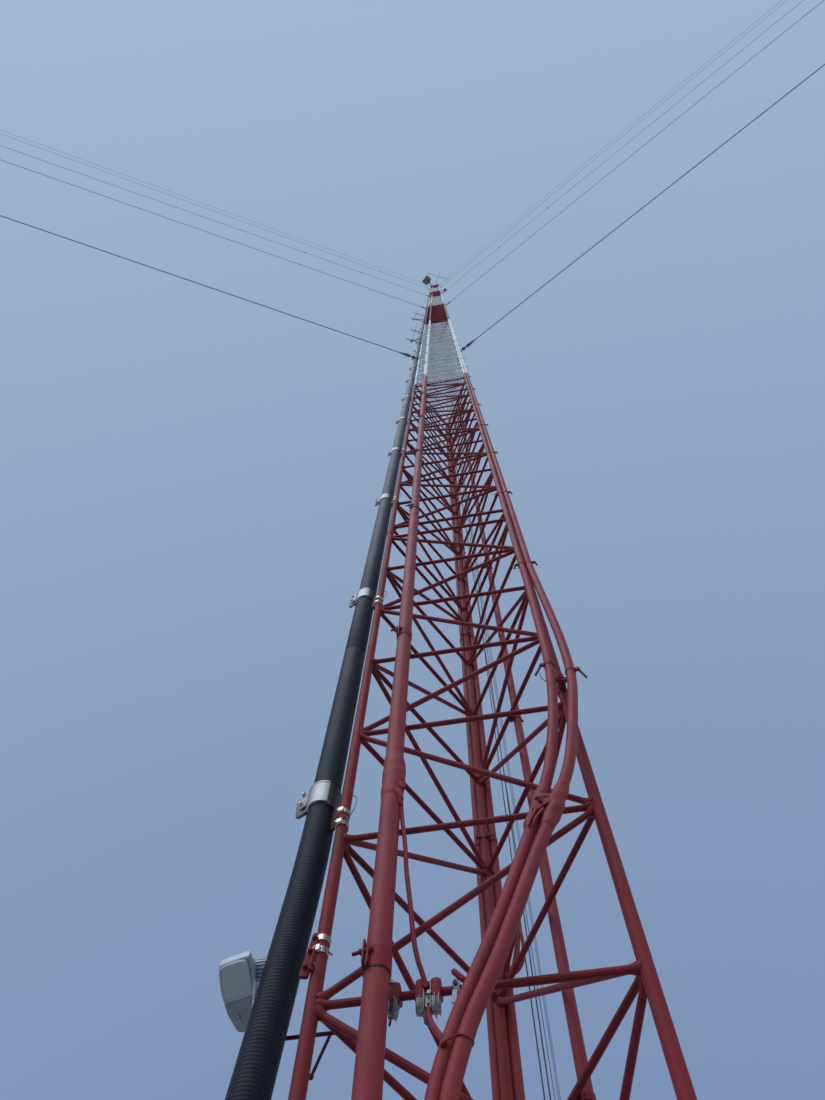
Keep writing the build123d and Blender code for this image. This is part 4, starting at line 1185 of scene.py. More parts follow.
nut = bolt(0.8, 0.62, (-8.95, -1.8, -0.5), (0, -1, -0.2))
wire_ends = [bent([(-9.1, -1.2, -6.0), (-9.25, -1.6, -7.6), (-8.9, -1.9, -8.6), (-8.4, -1.8, -8.2)], 0.2, 8),
             bent([(-15.5, -1.3, -5.6), (-15.35, -1.5, -6.8), (-15.45, -1.7, -7.8)], 0.22, 8)]
third = [band((x, 0, 0), RIGHT, ROD_RADIUS + 0.05, ROD_RADIUS + 0.55, 0.5, 0.12, 24) for x in (-4.1, -3.3)]
third += [block((1.25, 2.4, 0.5), (-0.5, 0.6, 0.15), (-3.7, -1.0, 0.1), (1, 0, 0.1), BACK),
          block((0.9, 3.2, 0.4), (-0.3, 0.2, 0.08), (-4.0, -1.2, -2.7), (1, 0, -0.1), BACK)]
third_eye = turned((-3.75, -1.5, 0.1), (0, -1, -0.3), [(0, 0.45), (0.5, 0.4)], 12)
stub = turned((-2.1, -1.7, 0.3), (-2.1, 0, 2.7), [(0, 0.58), (2.9, 0.58), (3.3, 0.42)], 12)
for name, shapes, finish, *nodes in (
        ("ground_clamp_tops", tops, PAINT),
        ("ground_clamp_bodies", bodies, (bronze, "clamp_brass"), "ground_clamps"),
        ("ground_clamp_bolts", bare, STEEL_BAND), ("ground_clamp_nut", [nut], PAINT),
        ("ground_clamp_wire_ends", wire_ends, BLACK), ("third_clamp", third, ZINC),
        ("third_clamp_eye", [third_eye], BLACK), ("third_clamp_stub", [stub], PAINT)):
    make_piece(name, [repeated(join(*shapes), clamp_at)], finish, *nodes)

# %% [markdown]
# The earth lead leaves the splice, sags down to the middle clamp, goes through it and on to the tie on the
# pair. It was painted along with everything else. It's a tube along a smooth curve.

# %% Ground lead
LEAD_UPPER = (
    (-15.0, -27.3, 364.0), (-14.5, -26.8, 361.6), (-14.1, -25.4, 352.6), (-13.15, -24.5, 342.5),
    (-12.7, -23.7, 334.4), (-11.75, -22.9, 324.6), (-11.2, -22.0, 317.6), (-10.5, -21.2, 312.7),
    (-9.7, -20.3, 309.8), (-9.1, -19.6, 307.6),
)
LEAD_LOWER = (
    (-8.6, -19.2, 302.9), (-8.5, -19.4, 300.6), (-7.7, -20.5, 297.6), (-6.2, -22.4, 293.6),
    (-5.2, -24.0, 291.2), (-4.4, -25.0, 289.6),
)
lead_nut = wrapped(between((-5.0, -26.2, 289.9), (-4.2, -26.4, 289.4), 7), 0.3, 0.6, 0.6, 0.06, 12)
make_piece("ground_lead_skin", [bent(LEAD_UPPER, 0.5, 12, 8), bent(LEAD_LOWER, 0.55, 12, 8), lead_nut],
           FEEDER, "ground_lead")

# %% [markdown]
# The small radio hangs beside the coax on its own post. From the ground its flat underside shows, with a
# raised panel that has a soft border, a lower plate with a black cable slot, and the ribbed neck beside it.
# The lower plate's darker colour and the slot's black are painted shade.
# Its outlines were measured in plan and their corners are rounded by cutting each one off, and then the
# corners that this leaves, a few times over.

# %% Radio
RADIO_OUTLINE = ((-51.8, -16.9), (-45.0, -18.6), (-45.2, -14.0), (-46.4, -9.5), (-47.8, -4.5), (-49.7, 0.4),
                 (-51.8, 0.3), (-52.9, -4.4), (-52.9, -8.5), (-52.4, -13.9))
PANEL_OUTLINE = ((-51.8, -16.8), (-45.3, -18.3), (-46.5, -9.3), (-53.0, -7.9))
LOWER_OUTLINE = ((-52.8, -7.7), (-46.4, -9.1), (-47.9, -4.6), (-49.8, 0.3), (-51.7, 0.2), (-52.8, -4.5))
LATER_CUT = 0.25
FLOOR_Z = 321.5
FIN_X = np.linspace(-51.4, -47.2, 7)
NECK_AT, NECK_MIDDLE = np.array([-46.8, -9.6, 327.2]), 2.25


def softened(outline, passes, share):
    """Corner cutting: a pair p, q gives (1-s) p + s q and s p + (1-s) q, s a quarter after the first cut."""
    outline = np.asarray(outline, float)
    for _ in range(passes):
        after = np.roll(outline, -1, axis=0)
        outline = np.stack([(1 - share) * outline + share * after, share * outline + (1 - share) * after],
                           axis=1)
        outline, share = outline.reshape(-1, 2), LATER_CUT
    return outline


def scaled_about(outline, factor, shift=(0, 0)):
    """The outline scaled about its own middle, then moved."""
    middle = outline.mean(axis=0)
    return middle + (outline - middle) * factor + shift


radio_plan, panel_plan = softened(RADIO_OUTLINE, 3, 0.08), softened(PANEL_OUTLINE, 4, 0.1)
border = above((0, 0), np.full(len(panel_plan) + 2, FLOOR_Z - 0.36))
border[:, :2] = np.resize(scaled_about(panel_plan, 0.95), (len(border), 2))
housing = [prism(radio_plan, FLOOR_Z, FLOOR_Z + 1.7, 0.2),
           prism(scaled_about(radio_plan, (0.8, 0.72), (0, 1.6)), FLOOR_Z + 1.6, FLOOR_Z + 5.4, 0.8),
           prism(panel_plan, FLOOR_Z - 0.4, FLOOR_Z + 0.3, 0.3), tube(border, 0.24, 8)]
housing += [block((0.4, 9.0, 0.15), (0, 1.1, 0.1), (x, -6.6, FLOOR_Z + 5.2)) for x in FIN_X]
make_piece("radio_housing", housing, (radio_shell, "radio_shell"), "radio_unit")
# The lower plate's darker finish is painted shade.
lower_shade_plate = prism(softened(LOWER_OUTLINE, 3, 0.12), FLOOR_Z - 0.06, FLOOR_Z + 0.3, 0.04)
make_piece("radio_lower_shade_plate", [lower_shade_plate], (radio_shade, "radio_shell"))
# The slot is a black plate: painted shade of an opening.
slot = block((0.3, 2.2, 0.14), (-0.06, 0.2, 0.03), (-50.4, -4.0, FLOOR_Z - 0.08), (1, -0.06, 0))
make_piece("radio_slot", [slot], BLACK)
neck = [turned(NECK_AT, RIGHT, [(0, 1.8), (0.3, 2.0), (4.4, 2.0), (4.9, 1.2)], 32)]
neck += [block((3.9, 0.3, 0.1), (1.7, 2.4, 0.05), NECK_AT + (NECK_MIDDLE, 0, 0), RIGHT,
               (0, math.cos(angle), math.sin(angle))) for angle in spin(20)]
make_piece("radio_neck", neck, (radio_shell, "radio_shell"))

# %% [markdown]
# A thin post beside the coax carries the radio. It stands on an arm that is clamped to a horizontal of the
# left face and stiffened by a strut.

# %% Radio arm
POST_X, ARM_Y, POST_RADIUS = -41.5, -9.5, 0.7
arm_low, arm_high = box_of("radio_arm")
arm_z = arm_low[2] + POST_RADIUS
arm = [rods((arm_low[0] + 0.4, ARM_Y, arm_z), (arm_high[0], ARM_Y, arm_z), 0.4, 12),
       rods((POST_X, ARM_Y, arm_low[2]), (POST_X, ARM_Y, arm_high[2]), POST_RADIUS, 14),
       rods((-28.9, ARM_Y, arm_z - 0.3), (-31.4, ARM_Y, arm_z - 9.0), 0.3, 10),
       turned((-31.3, ARM_Y, arm_z - 8.6), (-0.3, 0, -1), [(0, 0.3), (0.2, 0.5), (0.7, 0.5), (0.9, 0.3)], 12)]
arm += [band((x, ARM_Y, arm_z - 0.8), RIGHT, 0.85, 1.1, 0.4, 0.08, 18) for x in (-26.2, -24.9)]
arm += [band((POST_X, ARM_Y, arm_z + rise), UP, 0.72, 0.95, 1.0, 0.1, 18) for rise in (0, 14, 17)]
# The arm, post and strut take the darker red, which is painted shade.
make_piece("radio_arm_rods", arm, SHADED, "radio_arm")

# %% [markdown]
# Just above, an angled plate sits between the coax and the leg, bolted to two hose bands round the leg.

# %% Plate beside the leg
PLATE_AT, PLATE_LEAN = np.array([-32.2, -18.6, 319.4]), 0.13
plate = [block((11.5, 1.7, 0.4), (-0.45, 0.45, 0.12), PLATE_AT, (PLATE_LEAN, 0, 1), (0.1, -1, 0)),
         block((9.0, 1.2, 0.4), (-0.3, 0.3, 0.1), PLATE_AT + (0.95, -0.5, -0.4), (PLATE_LEAN, 0, 1),
               (0.9, -0.5, 0))]
plate += [bolt(0.8, 0.5, PLATE_AT + (PLATE_LEAN * rise, -0.45, rise), FRONT) for rise in (-3.6, 0.4, 3.9)]
make_piece("leg_side_plate", plate, PAINT)
side_bands = [repeated(hose_band(), (*leg_at[0], z), turn) for z, turn in ((320.4, -14.0), (323.6, -110.0))]
make_piece("leg_side_bands", side_bands, STEEL_BAND)
wire_tails = [bent([(-29.2, -19.4, 319.9), (-28.4, -19.6, 318.7), (-27.6, -19.3, 318.0)], 0.16, 6, 7),
              bent([(-31.0, -19.6, 316.4), (-30.2, -19.9, 314.9), (-29.9, -19.8, 313.6)], 0.16, 6, 7)]
make_piece("leg_side_wires", wire_tails, BLACK)

# %% [markdown]
# Up on the left leg stand two rod antennas, one over the other. Each has a mounting tube at its foot, a rod
# in two thicknesses with a ferrule between them, and two arms from the leg with a strut. They're drawn with
# the leg at the origin and the arms along +X, then turned about the leg and moved up.

# %% Side antennas
ANTENNA_TURN = 205.0
# foot in sections, distance from the leg, rod length
ANTENNAS = ((3.012, 20.0, 560.0), (4.16, 32.0, 640.0))
FOOT_LENGTH = 9.0
ARM_BEYOND, ARM_RADIUS = 10.0, 0.8


def leg_collar(centre, height):
    """A stout band round a leg."""
    return band(centre, UP, leg_radius + 0.05, leg_radius + 0.5, height, 0.12, 28)


def antenna_rod(reach, length):
    """Profile of (height, radius): mounting tube, ferrule, lower rod, joint, upper rod, rounded tip."""
    half = length * 0.5
    rows = [(-FOOT_LENGTH, 1.2), (-FOOT_LENGTH + 0.3, 1.6), (-0.5, 1.6), (0, 1.3), (1.2, 1.3), (1.4, 0.8),
            (half, 0.8), (half + 0.1, 1.05), (half + 3.0, 1.05), (half + 3.2, 0.72), (length - 1.0, 0.62),
            (length - 0.2, 0.5), (length, 0.2)]
    return turned((reach, 0, 0), UP, rows, 16)


def antenna_frame(reach, length):
    """Arms, strut, upright plate and leg bands for one antenna, with the leg at the origin."""
    low, high = -FOOT_LENGTH / 2, length * 0.5
    far, near = reach + ARM_BEYOND, leg_radius + 0.1
    parts = [rods((near + 1.1, 2.3, low + (high - low) / 3), (reach, 2.3, low), ARM_RADIUS, 12),
             block((1.2, 2.6, 0.4), (low, high, 0.2), (near + 1.1, 1.1, 0))]
    for y, z, grip in ((2.3, low, 1.65), (1.5, high, 0.78)):
        parts += [rods((near, y, z), (far, y, z), ARM_RADIUS, 12), leg_collar((0, 0, z), 2.4),
                  turned((far - 0.6, y, z), RIGHT, [(0, 0.95), (0.7, 0.95), (0.9, 0.7)], 12),
                  band((reach, 0, z), UP, grip, grip + 0.4, 1.6, 0.1, 24)]
        parts += [bolt(0.9, 0.6, (near + 1.7, beside, z), RIGHT, UP) for beside in (0.3, 1.9)]
    return join(*parts)


antennas = [(reach, length, (*leg_at[0], foot + place * section_length)) for place, reach, length in ANTENNAS]
for name, shape, slot, node in (("rods", antenna_rod, "antenna_aluminium", "side_antennas"),
                                ("frames", antenna_frame, "galvanised_steel", "antenna_brackets")):
    both = [repeated(shape(reach, length), place, ANTENNA_TURN) for reach, length, place in antennas]
    make_piece("side_antenna_" + name, both, (stay_wire, slot), node)

# %% [markdown]
# A warning light stands out from the right leg near the top. Its red lens is ringed to spread the light
# sideways, so the profile that is turned has a row of small steps, between a metal foot below and a cap with
# a lip above. Three turned profiles and six guard bars make the light.

# %% Warning light
LENS_RINGS, LENS_PITCH = 7, 1.7
LIGHT_BASE = [(0, 3.0), (0.3, 9.0), (1.0, 9.9), (2.0, 9.9), (2.6, 9.0), (3.8, 8.6), (4.4, 8.4)]
LIGHT_CAP = [(16.2, 8.2), (16.4, 9.9), (17.0, 9.9), (17.8, 8.6), (19.4, 6.6), (20.8, 3.8), (21.6, 1.4),
             (22.0, 0.5)]
GUARD_LINE = ((9.6, 2.0), (9.8, 9.0), (9.6, 16.6))

light_low, light_high = box_of("warning_light")
light_x, light_y = (light_low + light_high)[:2] / 2
light_z = light_low[2]
lens_rows = [(4.2, 7.8)]
for step in range(LENS_RINGS):
    rise, bulge = LENS_PITCH * step, 0.5 * math.sin((step + 1) * 0.39)
    lens_rows += [(4.3 + rise, 8.8 + bulge), (5.4 + rise, 9.3 + bulge), (5.8 + rise, 8.7)]
lens_rows += [(16.6, 8.2)]
lens_skin, *body = (turned((light_x, light_y, light_z), UP, rows, 36)
                    for rows in (lens_rows, LIGHT_BASE, LIGHT_CAP))
body += [bent([(light_x + out * math.cos(a), light_y + out * math.sin(a), light_z + rise)
               for out, rise in GUARD_LINE],
              0.22, 8, 5) for a in spin(6)]
make_piece("warning_light_lens", [lens_skin], (red_lens, "light_lens"), "warning_light")
make_piece("warning_light_body", body, (dish_shell, "light_lens"))

# %% [markdown]
# The light stands on a long rod, which two arms and a strut hold off the right leg, each with a collar round
# the leg. A cable comes down from the light, goes over to the leg and runs down it.

# %% Light bracket
LIGHT_ROD, ROD_TOP = 0.9, 619.0
UPPER_ARM_DROP, STRUT_DROP = 40.0, 30.0

bracket_low, bracket_high = box_of("light_bracket")
edge_x = leg_at[1][0] + leg_radius
low_arm, high_arm = bracket_low[2] + (bracket_high[2] - bracket_low[2]) / 2, bracket_high[2] - UPPER_ARM_DROP
bracket = [turned((light_x, light_y, bracket_low[2]), UP,
                  [(0, 0.5), (0.6, LIGHT_ROD), (ROD_TOP, LIGHT_ROD)], 14),
           rods((edge_x - 0.2, light_y, high_arm - STRUT_DROP), (light_x - 6.0, light_y, high_arm), 0.6, 12)]
bracket += [rods((edge_x - 0.3, light_y, z), (light_x, light_y, z), LIGHT_ROD, 14)
            for z in (low_arm, high_arm)]
bracket += [leg_collar((*leg_at[1], z), 2.6) for z in (low_arm, high_arm, high_arm - STRUT_DROP)]
bracket += [band((light_x, light_y, z), UP, LIGHT_ROD + 0.03, LIGHT_ROD + 0.5, 2.4, 0.12, 20)
            for z in (low_arm, high_arm, light_z - 3.0)]
make_piece("light_bracket_rods", bracket, DULL_ZINC, "light_bracket")
light_cable = bent([(light_x + 1.1, light_y, light_z - 0.2), (light_x + 1.7, light_y, light_z - 14),
                    (light_x - 3.0, light_y + 0.6, light_z - 41.5),
                    (edge_x + 6, light_y + 0.9, light_z - 43.0),
                    (edge_x + 0.6, light_y + 0.9, light_z - 47.0),
                    (edge_x + 0.4, light_y + 0.9, light_z - 70.0)],
                   0.35, 8, 8)
make_piece("light_cable", [light_cable], BLACK)

# %% [markdown]
# A three-cornered plate closes the top of the mast and carries a short post. Its outline is three arcs about
# points inside the corners. Gussets hold the post, and bolts hold the plate to the legs.

# %% Top plate and post
PLATE_ROUND, PLATE_THICK = 4.0, 2.0
TOP_POST_RADIUS = 3.0
top_low, top_high = box_of("top_plate")
plate_z = top_low[2]
post_z = plate_z + PLATE_THICK
post_top = top_high[2] - post_z
corner_reach = float(np.linalg.norm(leg_at[2])) + leg_radius * 4


def upright_plate(outline, x, y, z, angle):
    """A thin plate with its outline's x along the angle and its y upward."""
    outward = (math.cos(angle), math.sin(angle), 0)
    return placed(prism(outline, -0.5, 0.5, 0.1), (x, y, z), outward, (outward[1], -outward[0], 0))


plate_outline = [(corner_reach * math.cos(middle) + PLATE_ROUND * math.cos(a),
                  corner_reach * math.sin(middle) + PLATE_ROUND * math.sin(a))
                 for middle in np.radians((90.0, 210.0, 330.0))
                 for a in middle + np.radians(np.linspace(-60, 60, 7))]
top = [prism(plate_outline, plate_z, post_z, 0.25),
       turned((0, 0, post_z), UP,
              [(0, 4.2), (1.6, 3.4), (2.4, TOP_POST_RADIUS), (post_top - 1.0, TOP_POST_RADIUS),
               (post_top, 2.4)], 28)]
top += [upright_plate([(0, 0), (8.0, 0), (1.0, 14.0), (0, 14.0)],
                      2.6 * math.cos(a), 2.6 * math.sin(a), post_z, a)
        for a in np.radians((30.0, 150.0, 270.0))]
top += [bolt(2.2, 1.6, (x * 0.8, y * 0.8, post_z), UP) for x, y in leg_at]
top += [turned((*place, plate_z - 3.0), UP,
               [(0, leg_radius + 0.02), (0.6, leg_radius + 0.5), (3.0, leg_radius + 1.1)], 20)
        for place in leg_at]
make_piece("top_plate_and_post", top, PAINT, "top_plate")

# %% [markdown]
# The dish is a drum with a deep shroud: a bowl at the back, ribs and a rolled rim on the shroud, and a cover
# held by clips. It's a profile turned about the dish's own level axis, and its radius has a small step at
# every rib.

# %% Shrouded dish
DISH_AZIMUTH = math.radians(-131.0)
DISH_REACH, DISH_HALF, DISH_RISE = 100.0, 29.0, 37.0
SHROUD, RIM = 36.9, 37.9
BOWL = [(-6.0, 8.0), (-5.6, 13.6), (-1.0, 14.6), (0, 17.0), (1.6, 25.0), (4.2, 32.0), (7.6, 36.2), (8.6, RIM),
        (10.4, RIM), (10.8, SHROUD)]      # counted from the back of the drum
# counted from its front, as the cover is
ROLLED_RIM = [(-4.0, SHROUD), (-3.6, RIM), (-1.6, RIM), (-1.2, 37.2)]
COVER = [(-1.4, 37.3), (-0.9, 37.3), (-0.6, 36.4), (-0.9, 35.0), (-0.5, 30.0), (-0.15, 18.0), (0, 4.0)]
RIBS, RIB_ROWS = (-8.0, 4.0, 16.0), ((-0.8, SHROUD), (-0.4, 37.5), (0.4, 37.5), (0.8, SHROUD))
SEAMS = np.radians((20.0, 140.0, 260.0))

dish_axis = np.array([math.cos(DISH_AZIMUTH), math.sin(DISH_AZIMUTH), 0.0])
dish_side = np.array([-dish_axis[1], dish_axis[0], 0.0])
dish_z = post_z + DISH_RISE
dish_at = dish_axis * DISH_REACH + (0, 0, dish_z)
shroud = [(x - DISH_HALF, radius) for x, radius in BOWL]
shroud += [(rib + x, radius) for rib in RIBS for x, radius in RIB_ROWS]
shroud += [(DISH_HALF + x, radius) for x, radius in ROLLED_RIM]
cover = [(DISH_HALF + x, radius) for x, radius in COVER]


def on_drum(size, thick, along, radius, angle):
    """A small plate that lies on the drum's side, at a distance along its axis and an angle round it."""
    outward = math.cos(angle) * dish_side + (0, 0, math.sin(angle))
    return block(size, (0, thick, 0.1), dish_at + dish_axis * along + radius * outward,
                 -math.sin(angle) * dish_side + (0, 0, math.cos(angle)), outward)


drum = [turned(dish_at, dish_axis, rows, 72) for rows in (shroud, cover)]
drum += [on_drum((1.6, 36.0, 0.4), 0.5, 3.0, 36.8, angle) for angle in SEAMS]
# The drum's near-black finish is painted shade.
make_piece("dish_shell_and_cover", drum, (dish_shell, "dish_shell"), "dish")
clips = [on_drum((2.4, 5.0, 0.5), 0.55, DISH_HALF - 2.6, 37.6, angle) for angle in spin(12)]
make_piece("dish_clips", clips, DULL_ZINC)

# %% [markdown]
# A level pipe reaches from the top post to the back of the dish. Two clamp bands and a plate with four bolts
# hold it, and a brace runs from lower down on the post to the bowl.

# %% Dish mount
GRIP_RISES, BRACE_DROP = (-6.0, 6.0), 24.0


def post_grip(z, outside=3.8, height=3.0):
    """A clamp band round the top post."""
    return band((0, 0, z), UP, TOP_POST_RADIUS + 0.05, outside, height, 0.3, 32)


pipe_end = DISH_REACH - DISH_HALF - 6.0
mount = [turned(dish_axis * 3.1 + (0, 0, dish_z), dish_axis,
                [(0, 2.5), (pipe_end - 8.0, 2.5), (pipe_end - 7.0, 4.6), (pipe_end - 3.1, 4.6)], 24),
         block((8.0, 20.0, 1.0), (3.0, 4.4, 0.2), (0, 0, dish_z), dish_side, dish_axis),
         rods(dish_side * 2.0 + (0, 0, dish_z - BRACE_DROP),
              dish_at - dish_axis * (DISH_HALF + 3.0) + (0, 0, -11.0),
              1.0, 14), post_grip(dish_z - BRACE_DROP)]
for rise in GRIP_RISES:
    mount.append(post_grip(dish_z + rise, 3.9))
    mount += [bolt(1.4, 1.0, dish_axis * 4.4 + dish_side * side + (0, 0, dish_z + rise), dish_axis, dish_side)
              for side in (-2.8, 2.8)]
make_piece("dish_mount_pipe", mount, DULL_ZINC, "dish_mount")

# %% [markdown]
# Above the dish an arm carries a long boom with one cross element. They are square and round tubes with end
# caps, and each crossing has a clamp plate.

# %% Top boom
BOOM_AZIMUTH = math.radians(26.0)
BOOM_REACH, BOOM_LENGTH, BOOM_SIZE = 102.0, 226.0, 3.0
ELEMENT_ROWS = ((-41.0, 0.5), (-40.0, 0.8), (40.0, 0.8), (41.0, 0.5))
boom_z = np.add(*box_of("top_boom"))[2] / 2
arm_out = np.array([math.sin(BOOM_AZIMUTH), -math.cos(BOOM_AZIMUTH), 0.0])
boom_along = np.array([math.cos(BOOM_AZIMUTH), math.sin(BOOM_AZIMUTH), 0.0])
crossing = arm_out * BOOM_REACH + (0, 0, boom_z)
square, half_boom = (BOOM_SIZE, BOOM_SIZE, 0.5), BOOM_LENGTH / 2
tubes = [block(square, (3.1, BOOM_REACH - 1.6, 0.1), (0, 0, boom_z), UP, arm_out),
         block((BOOM_SIZE - 0.2, BOOM_SIZE - 0.2, 0.5), (-half_boom + 1.2, half_boom - 1.2, 0.1),
               crossing, UP, boom_along),
         tube([crossing + arm_out * out for out, _ in ELEMENT_ROWS],
              [radius for _, radius in ELEMENT_ROWS], 14),
         block((7.0, 5.0, 0.8), (-2.0, 2.0, 0.3), crossing, boom_along, UP),
         rods(arm_out * 3.4 + (0, 0, boom_z - 26.0), arm_out * 46.0 + (0, 0, boom_z - 1.2), 0.8, 12),
         post_grip(boom_z - 26.0, 3.7, 2.4)]
tubes += [block(square, (-0.9, 0.9, 0.3), crossing + boom_along * side * (half_boom - 0.9), UP, boom_along)
          for side in (-1, 1)]
tubes += [post_grip(boom_z + rise, 3.8, 2.6) for rise in (-3.0, 3.0)]
make_piece("top_boom_tubes", tubes, (stay_wire, "antenna_aluminium"), "top_boom")

# %% [markdown]
# The mast stands on a thick plate. The legs are welded down all round, with three small gussets each, and
# studs come up through the plate's holes into a washer and two nuts.

# %% Base plate details
STUD_CIRCLE = 21.0
GUSSET = [(0, 0), (6.0, 0), (5.6, 0.8), (0.5, 7.0), (0, 7.0)]
plate_top = box_of("base_plate")[1][2]
weld_rows = [(0, leg_radius + 1.1), (0.35, leg_radius + 0.95), (0.9, leg_radius + 0.35),
             (1.3, leg_radius + 0.02)]
feet = [turned((*place, plate_top - 0.05), UP, weld_rows, 24) for place in leg_at]
for place, start in zip(leg_at, (30.0, 150.0, 270.0)):
    for a in np.radians(start + np.array((0.0, 120.0, 240.0))):
        x, y = place + leg_radius * 0.9 * np.array([math.cos(a), math.sin(a)])
        feet.append(upright_plate(GUSSET, x, y, plate_top, a))
make_piece("foot_welds", feet, PAINT)
stud_at = [(STUD_CIRCLE * math.cos(a), STUD_CIRCLE * math.sin(a), plate_top) for a in spin(6)]
stud = join(turned((0, 0, -2.4), UP, [(0, 1.15), (7.2, 1.15), (7.6, 0.9)], 20),
            turned((0, 0, 0), UP, [(0, 3.0), (0.4, 3.0)], 28),
            turned((0, 0, 0.4), UP, [(0, 2.3), (0.25, 2.5), (2.0, 2.5), (2.25, 2.3)], 6),
            turned((0, 0, 2.65), UP, [(0, 2.3), (0.2, 2.45), (1.2, 2.45), (1.4, 2.3)], 6))
make_piece("base_studs", [repeated(stud, stud_at, 15.0)], ZINC)

# %% [markdown]
# Five stays hold each leg. A stay is a wire with a swaged socket at the mast, a turnbuckle at the ground, and
# on two of them a pair of ribbed insulators. All parts of one stay lie on its line, so they are profiles
# turned about it.

# %% Stay lines
STAY_SECTIONS = (2.53, 5.6, 8.34, 11.31, 13.77)
STAY_TURNS = {"left": 210.0, "right": -30.0, "rear": 90.0}
INNER_STAYS = 3
ANCHOR_RADIUS = (4500.0, 6500.0)
PLATE_HALF, SHAFT_HEIGHT, PLATE_PITCH = 17.0, 40.0, 12.0
LUG_LENGTH, STAY_GAP = 9.0, 0.1
SOCKET_SINK, TURNBUCKLE_SINK = 1.96, 1.73     # how far an end stands off its plate when the stay leans
SOCKET_LENGTH, TURNBUCKLE_LENGTH = 20.0, 42.0
INSULATED, INSULATOR_PLACES = (2, 3), (520.0, 900.0)
STAY_ROWS = 5
SOCKET = [(4.6, 1.0), (5.0, 2.1), (6.2, 2.4), (11.0, 2.2), (15.0, 1.5), (20.0, 1.0), (24.0, 0.62)]
TURNBUCKLE = [(0.0, 0.62), (1.0, 0.9), (5.0, 0.9), (5.4, 1.45), (7.6, 1.45), (8.4, 0.9), (10.0, 0.75),
              (33.0, 0.75), (34.6, 0.9), (35.4, 1.45), (37.6, 1.45), (38.0, 0.9), (41.0, 0.9), (42.0, 0.6)]
SHEDS = [(0.0, 0.7), (0.2, 1.2), (0.8, 1.3)]
for shed in 2.6 * np.arange(4):
    SHEDS += [(1.0 + shed, 1.15), (1.5 + shed, 1.95), (1.9 + shed, 1.9), (2.6 + shed, 1.15)]
SHEDS += [(11.4, 1.3), (11.8, 1.2), (12.0, 0.7)]

lug_start = float(np.linalg.norm(leg_at[2])) + leg_radius
stay_heights = foot + np.array(STAY_SECTIONS) * section_length


def stay_line(index):
    """Start and end of a stay in the plane of +X and +Z, with the mast's middle at the origin."""
    outer_one = index >= INNER_STAYS
    high, low = stay_heights[index], SHAFT_HEIGHT + PLATE_PITCH * (index - INNER_STAYS * outer_one)
    inner, outer = lug_start + LUG_LENGTH, ANCHOR_RADIUS[outer_one] - PLATE_HALF
    lean = (high - low) / math.hypot(high - low, outer - inner)
    start = np.array([inner + STAY_GAP + SOCKET_SINK * lean, 0, high])
    return start, np.array([outer - STAY_GAP - TURNBUCKLE_SINK * lean, 0, low])


def stay_parts(index):
    """Wire, fittings and insulators of one stay."""
    start, end = stay_line(index)
    along = unit(end - start)
    side, over, jaw_at = np.array(BACK), np.cross(along, BACK), start - along * 0.6
    wire = tube(between(start + along * SOCKET_LENGTH, end - along * (TURNBUCKLE_LENGTH - 1), STAY_ROWS), 0.6,
                8)
    fittings = [turned(start, along, SOCKET, 16),
                turned(end - along * TURNBUCKLE_LENGTH, along, TURNBUCKLE, 16),
                turned(jaw_at - along * 1.4 - side * 1.7, side,
                       [(0, 0.5), (0.1, 0.75), (3.3, 0.75), (3.4, 0.5)], 12),
                band(end + along * 0.3, side, 0.7, 1.3, 0.9, 0.2, 18),
                band(start + along * 2.6, side, 1.9, 2.9, 1.5, 0.3, 24),
                band(start - along * 2.2, over, 1.7, 2.6, 1.1, 0.3, 24)]
    fittings += [block((0.5, 22.0, 0.2), (-1.35, -0.7, 0.08), end - along * 20.6, side * flip, over)
                 for flip in (1, -1)]
    fittings += [block((6.4, 2.6, 1.2), (0, 0.45, 0.1), jaw_at + side * offset, along, side, 6)
                 for offset in (0.95, -1.4)]
    sheds = [turned(start + along * place, along, SHEDS, 24)
             for place in INSULATOR_PLACES if index in INSULATED]
    return [wire], fittings, sheds


for name, turn in STAY_TURNS.items():
    piles = [], [], []
    for index in range(len(STAY_SECTIONS)):
        for pile, parts in zip(piles, stay_parts(index)):
            pile += [repeated(part, (0, 0, 0), turn) for part in parts]
    nodes = [f"{name}_stay_{index + 1}" for index in range(len(STAY_SECTIONS))]
    make_piece(f"{name}_stay_wires", piles[0], STAY, *nodes)
    make_piece(f"{name}_stay_fittings", piles[1], STAY)
    make_piece(f"{name}_stay_insulators", piles[2], (insulator_glaze, "stay_steel"))

# %% [markdown]
# Each stay hooks to a lug on its leg: a plate with a round outer end, an eye and a band round the leg that
# holds it. At the ground the stays of one anchor share an upright plate with a pin for each, on a short
# shaft.

# %% Lugs and anchors
LUG_ROUND = 4.0
PIN_ROWS = [(0, 1.4), (0.2, 1.7), (1.0, 1.7), (1.1, 1.1), (4.2, 1.1), (4.3, 1.7), (5.0, 1.7), (5.2, 1.4)]
SHAFT_ROWS = [(0, 4.6), (0.8, 4.6), (1.2, 4.0), (18.2, 4.0), (19.0, 5.2), (20.4, 5.2)]

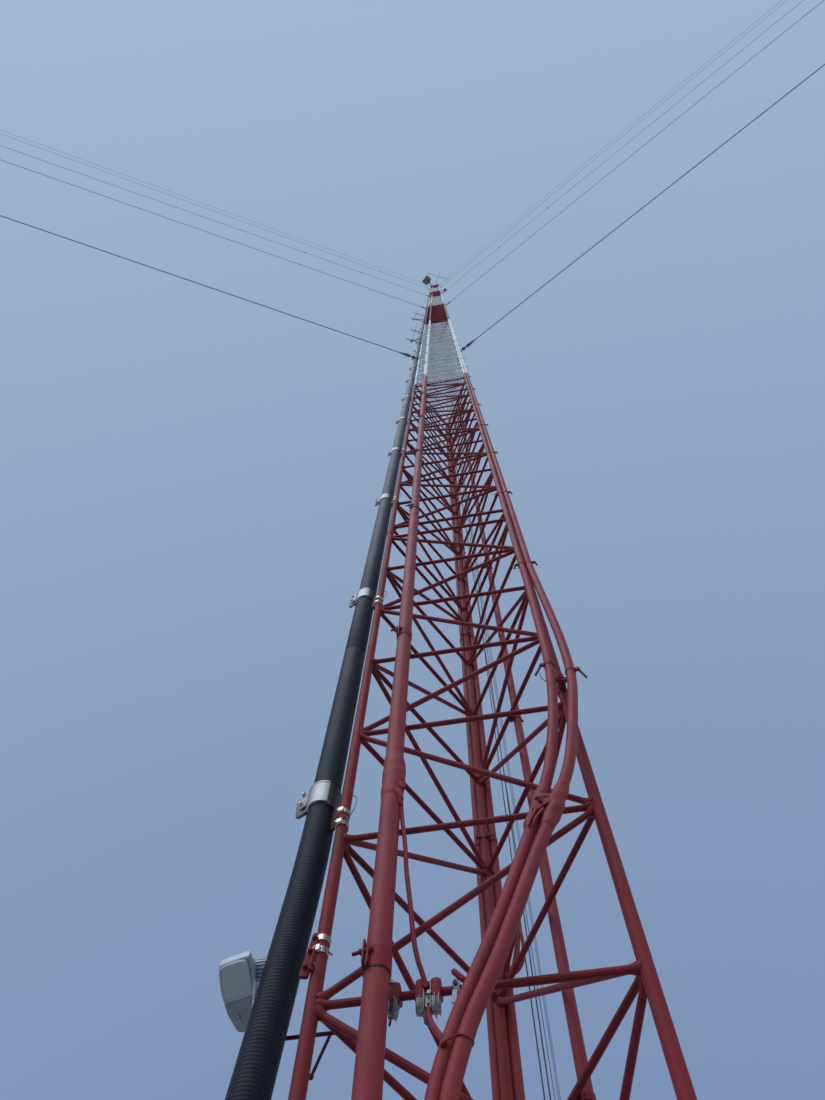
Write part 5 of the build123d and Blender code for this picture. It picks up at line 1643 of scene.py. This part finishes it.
lug_angle = np.radians(np.linspace(-75, 75, 11))
lug_end = np.column_stack([5.0 + LUG_ROUND * np.cos(lug_angle), LUG_ROUND * np.sin(lug_angle)])
lug_outline = np.vstack([[(-0.6, -LUG_ROUND), (4.6, -LUG_ROUND)], lug_end,
                         [(4.6, LUG_ROUND), (-0.6, LUG_ROUND)]])
lug = [placed(prism(lug_outline, -0.8, 0.8, 0.15), (lug_start, 0, 0), RIGHT, FRONT),
       band((lug_start + 5.8, 0, 0), BACK, 1.0, 1.7, 1.9, 0.15, 24)]
for z in (-2.6, 2.6):
    lug += [band((lug_start - leg_radius, 0, z), UP, leg_radius + 0.04, leg_radius + 0.45, 2.0, 0.12, 28),
            bolt(0.9, 0.65, (lug_start + 1.2, 0.8, z), BACK)]
lugs = [repeated(repeated(join(*lug), (0, 0, 0), turn), above((0, 0), stay_heights))
        for turn in STAY_TURNS.values()]
make_piece("stay_lugs", lugs, (stay_wire, "mast_paint"), "guy_lugs")


def anchor_parts(radius, count):
    """Plate with rounded corners, a pin and shackle straps per stay, and the shaft with its collar."""
    height = PLATE_PITCH * count + SHAFT_HEIGHT / 2
    parts = [block((2 * PLATE_HALF, height, 4.0), (-1.5, 1.5, 0.3),
                   (radius, 0, SHAFT_HEIGHT / 2 + height / 2), RIGHT,
                   FRONT, 6), turned((radius, 0, 0), UP, SHAFT_ROWS, 28)]
    for z in SHAFT_HEIGHT + PLATE_PITCH * np.arange(count):
        parts.append(turned((radius - PLATE_HALF + 3.6, -2.6, z), BACK, PIN_ROWS, 16))
        parts += [block((6.0, 2.6, 1.2), (0, 0.5, 0.1), (radius - PLATE_HALF + 1.6, side, z), RIGHT, BACK, 6)
                  for side in (1.7, -2.2)]
    return join(*parts)


ANCHORS = (("inner", ANCHOR_RADIUS[0], INNER_STAYS),
           ("outer", ANCHOR_RADIUS[1], len(STAY_SECTIONS) - INNER_STAYS))
for name, turn in STAY_TURNS.items():
    for place, radius, count in ANCHORS:
        anchor = repeated(anchor_parts(radius, count), (0, 0, 0), turn)
        make_piece(f"{name}_{place}_anchor_plate", [anchor], ZINC, f"{name}_{place}_anchor")

# %% [markdown]
# Only the base plate keeps its own mesh, because no piece stands in for it. It takes the finish of galvanised
# steel.

# %% Finish of the base plate
for material_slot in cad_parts["base_plate"].material_slots:
    material_slot.material = zinc
print("the base plate is", zinc.name)
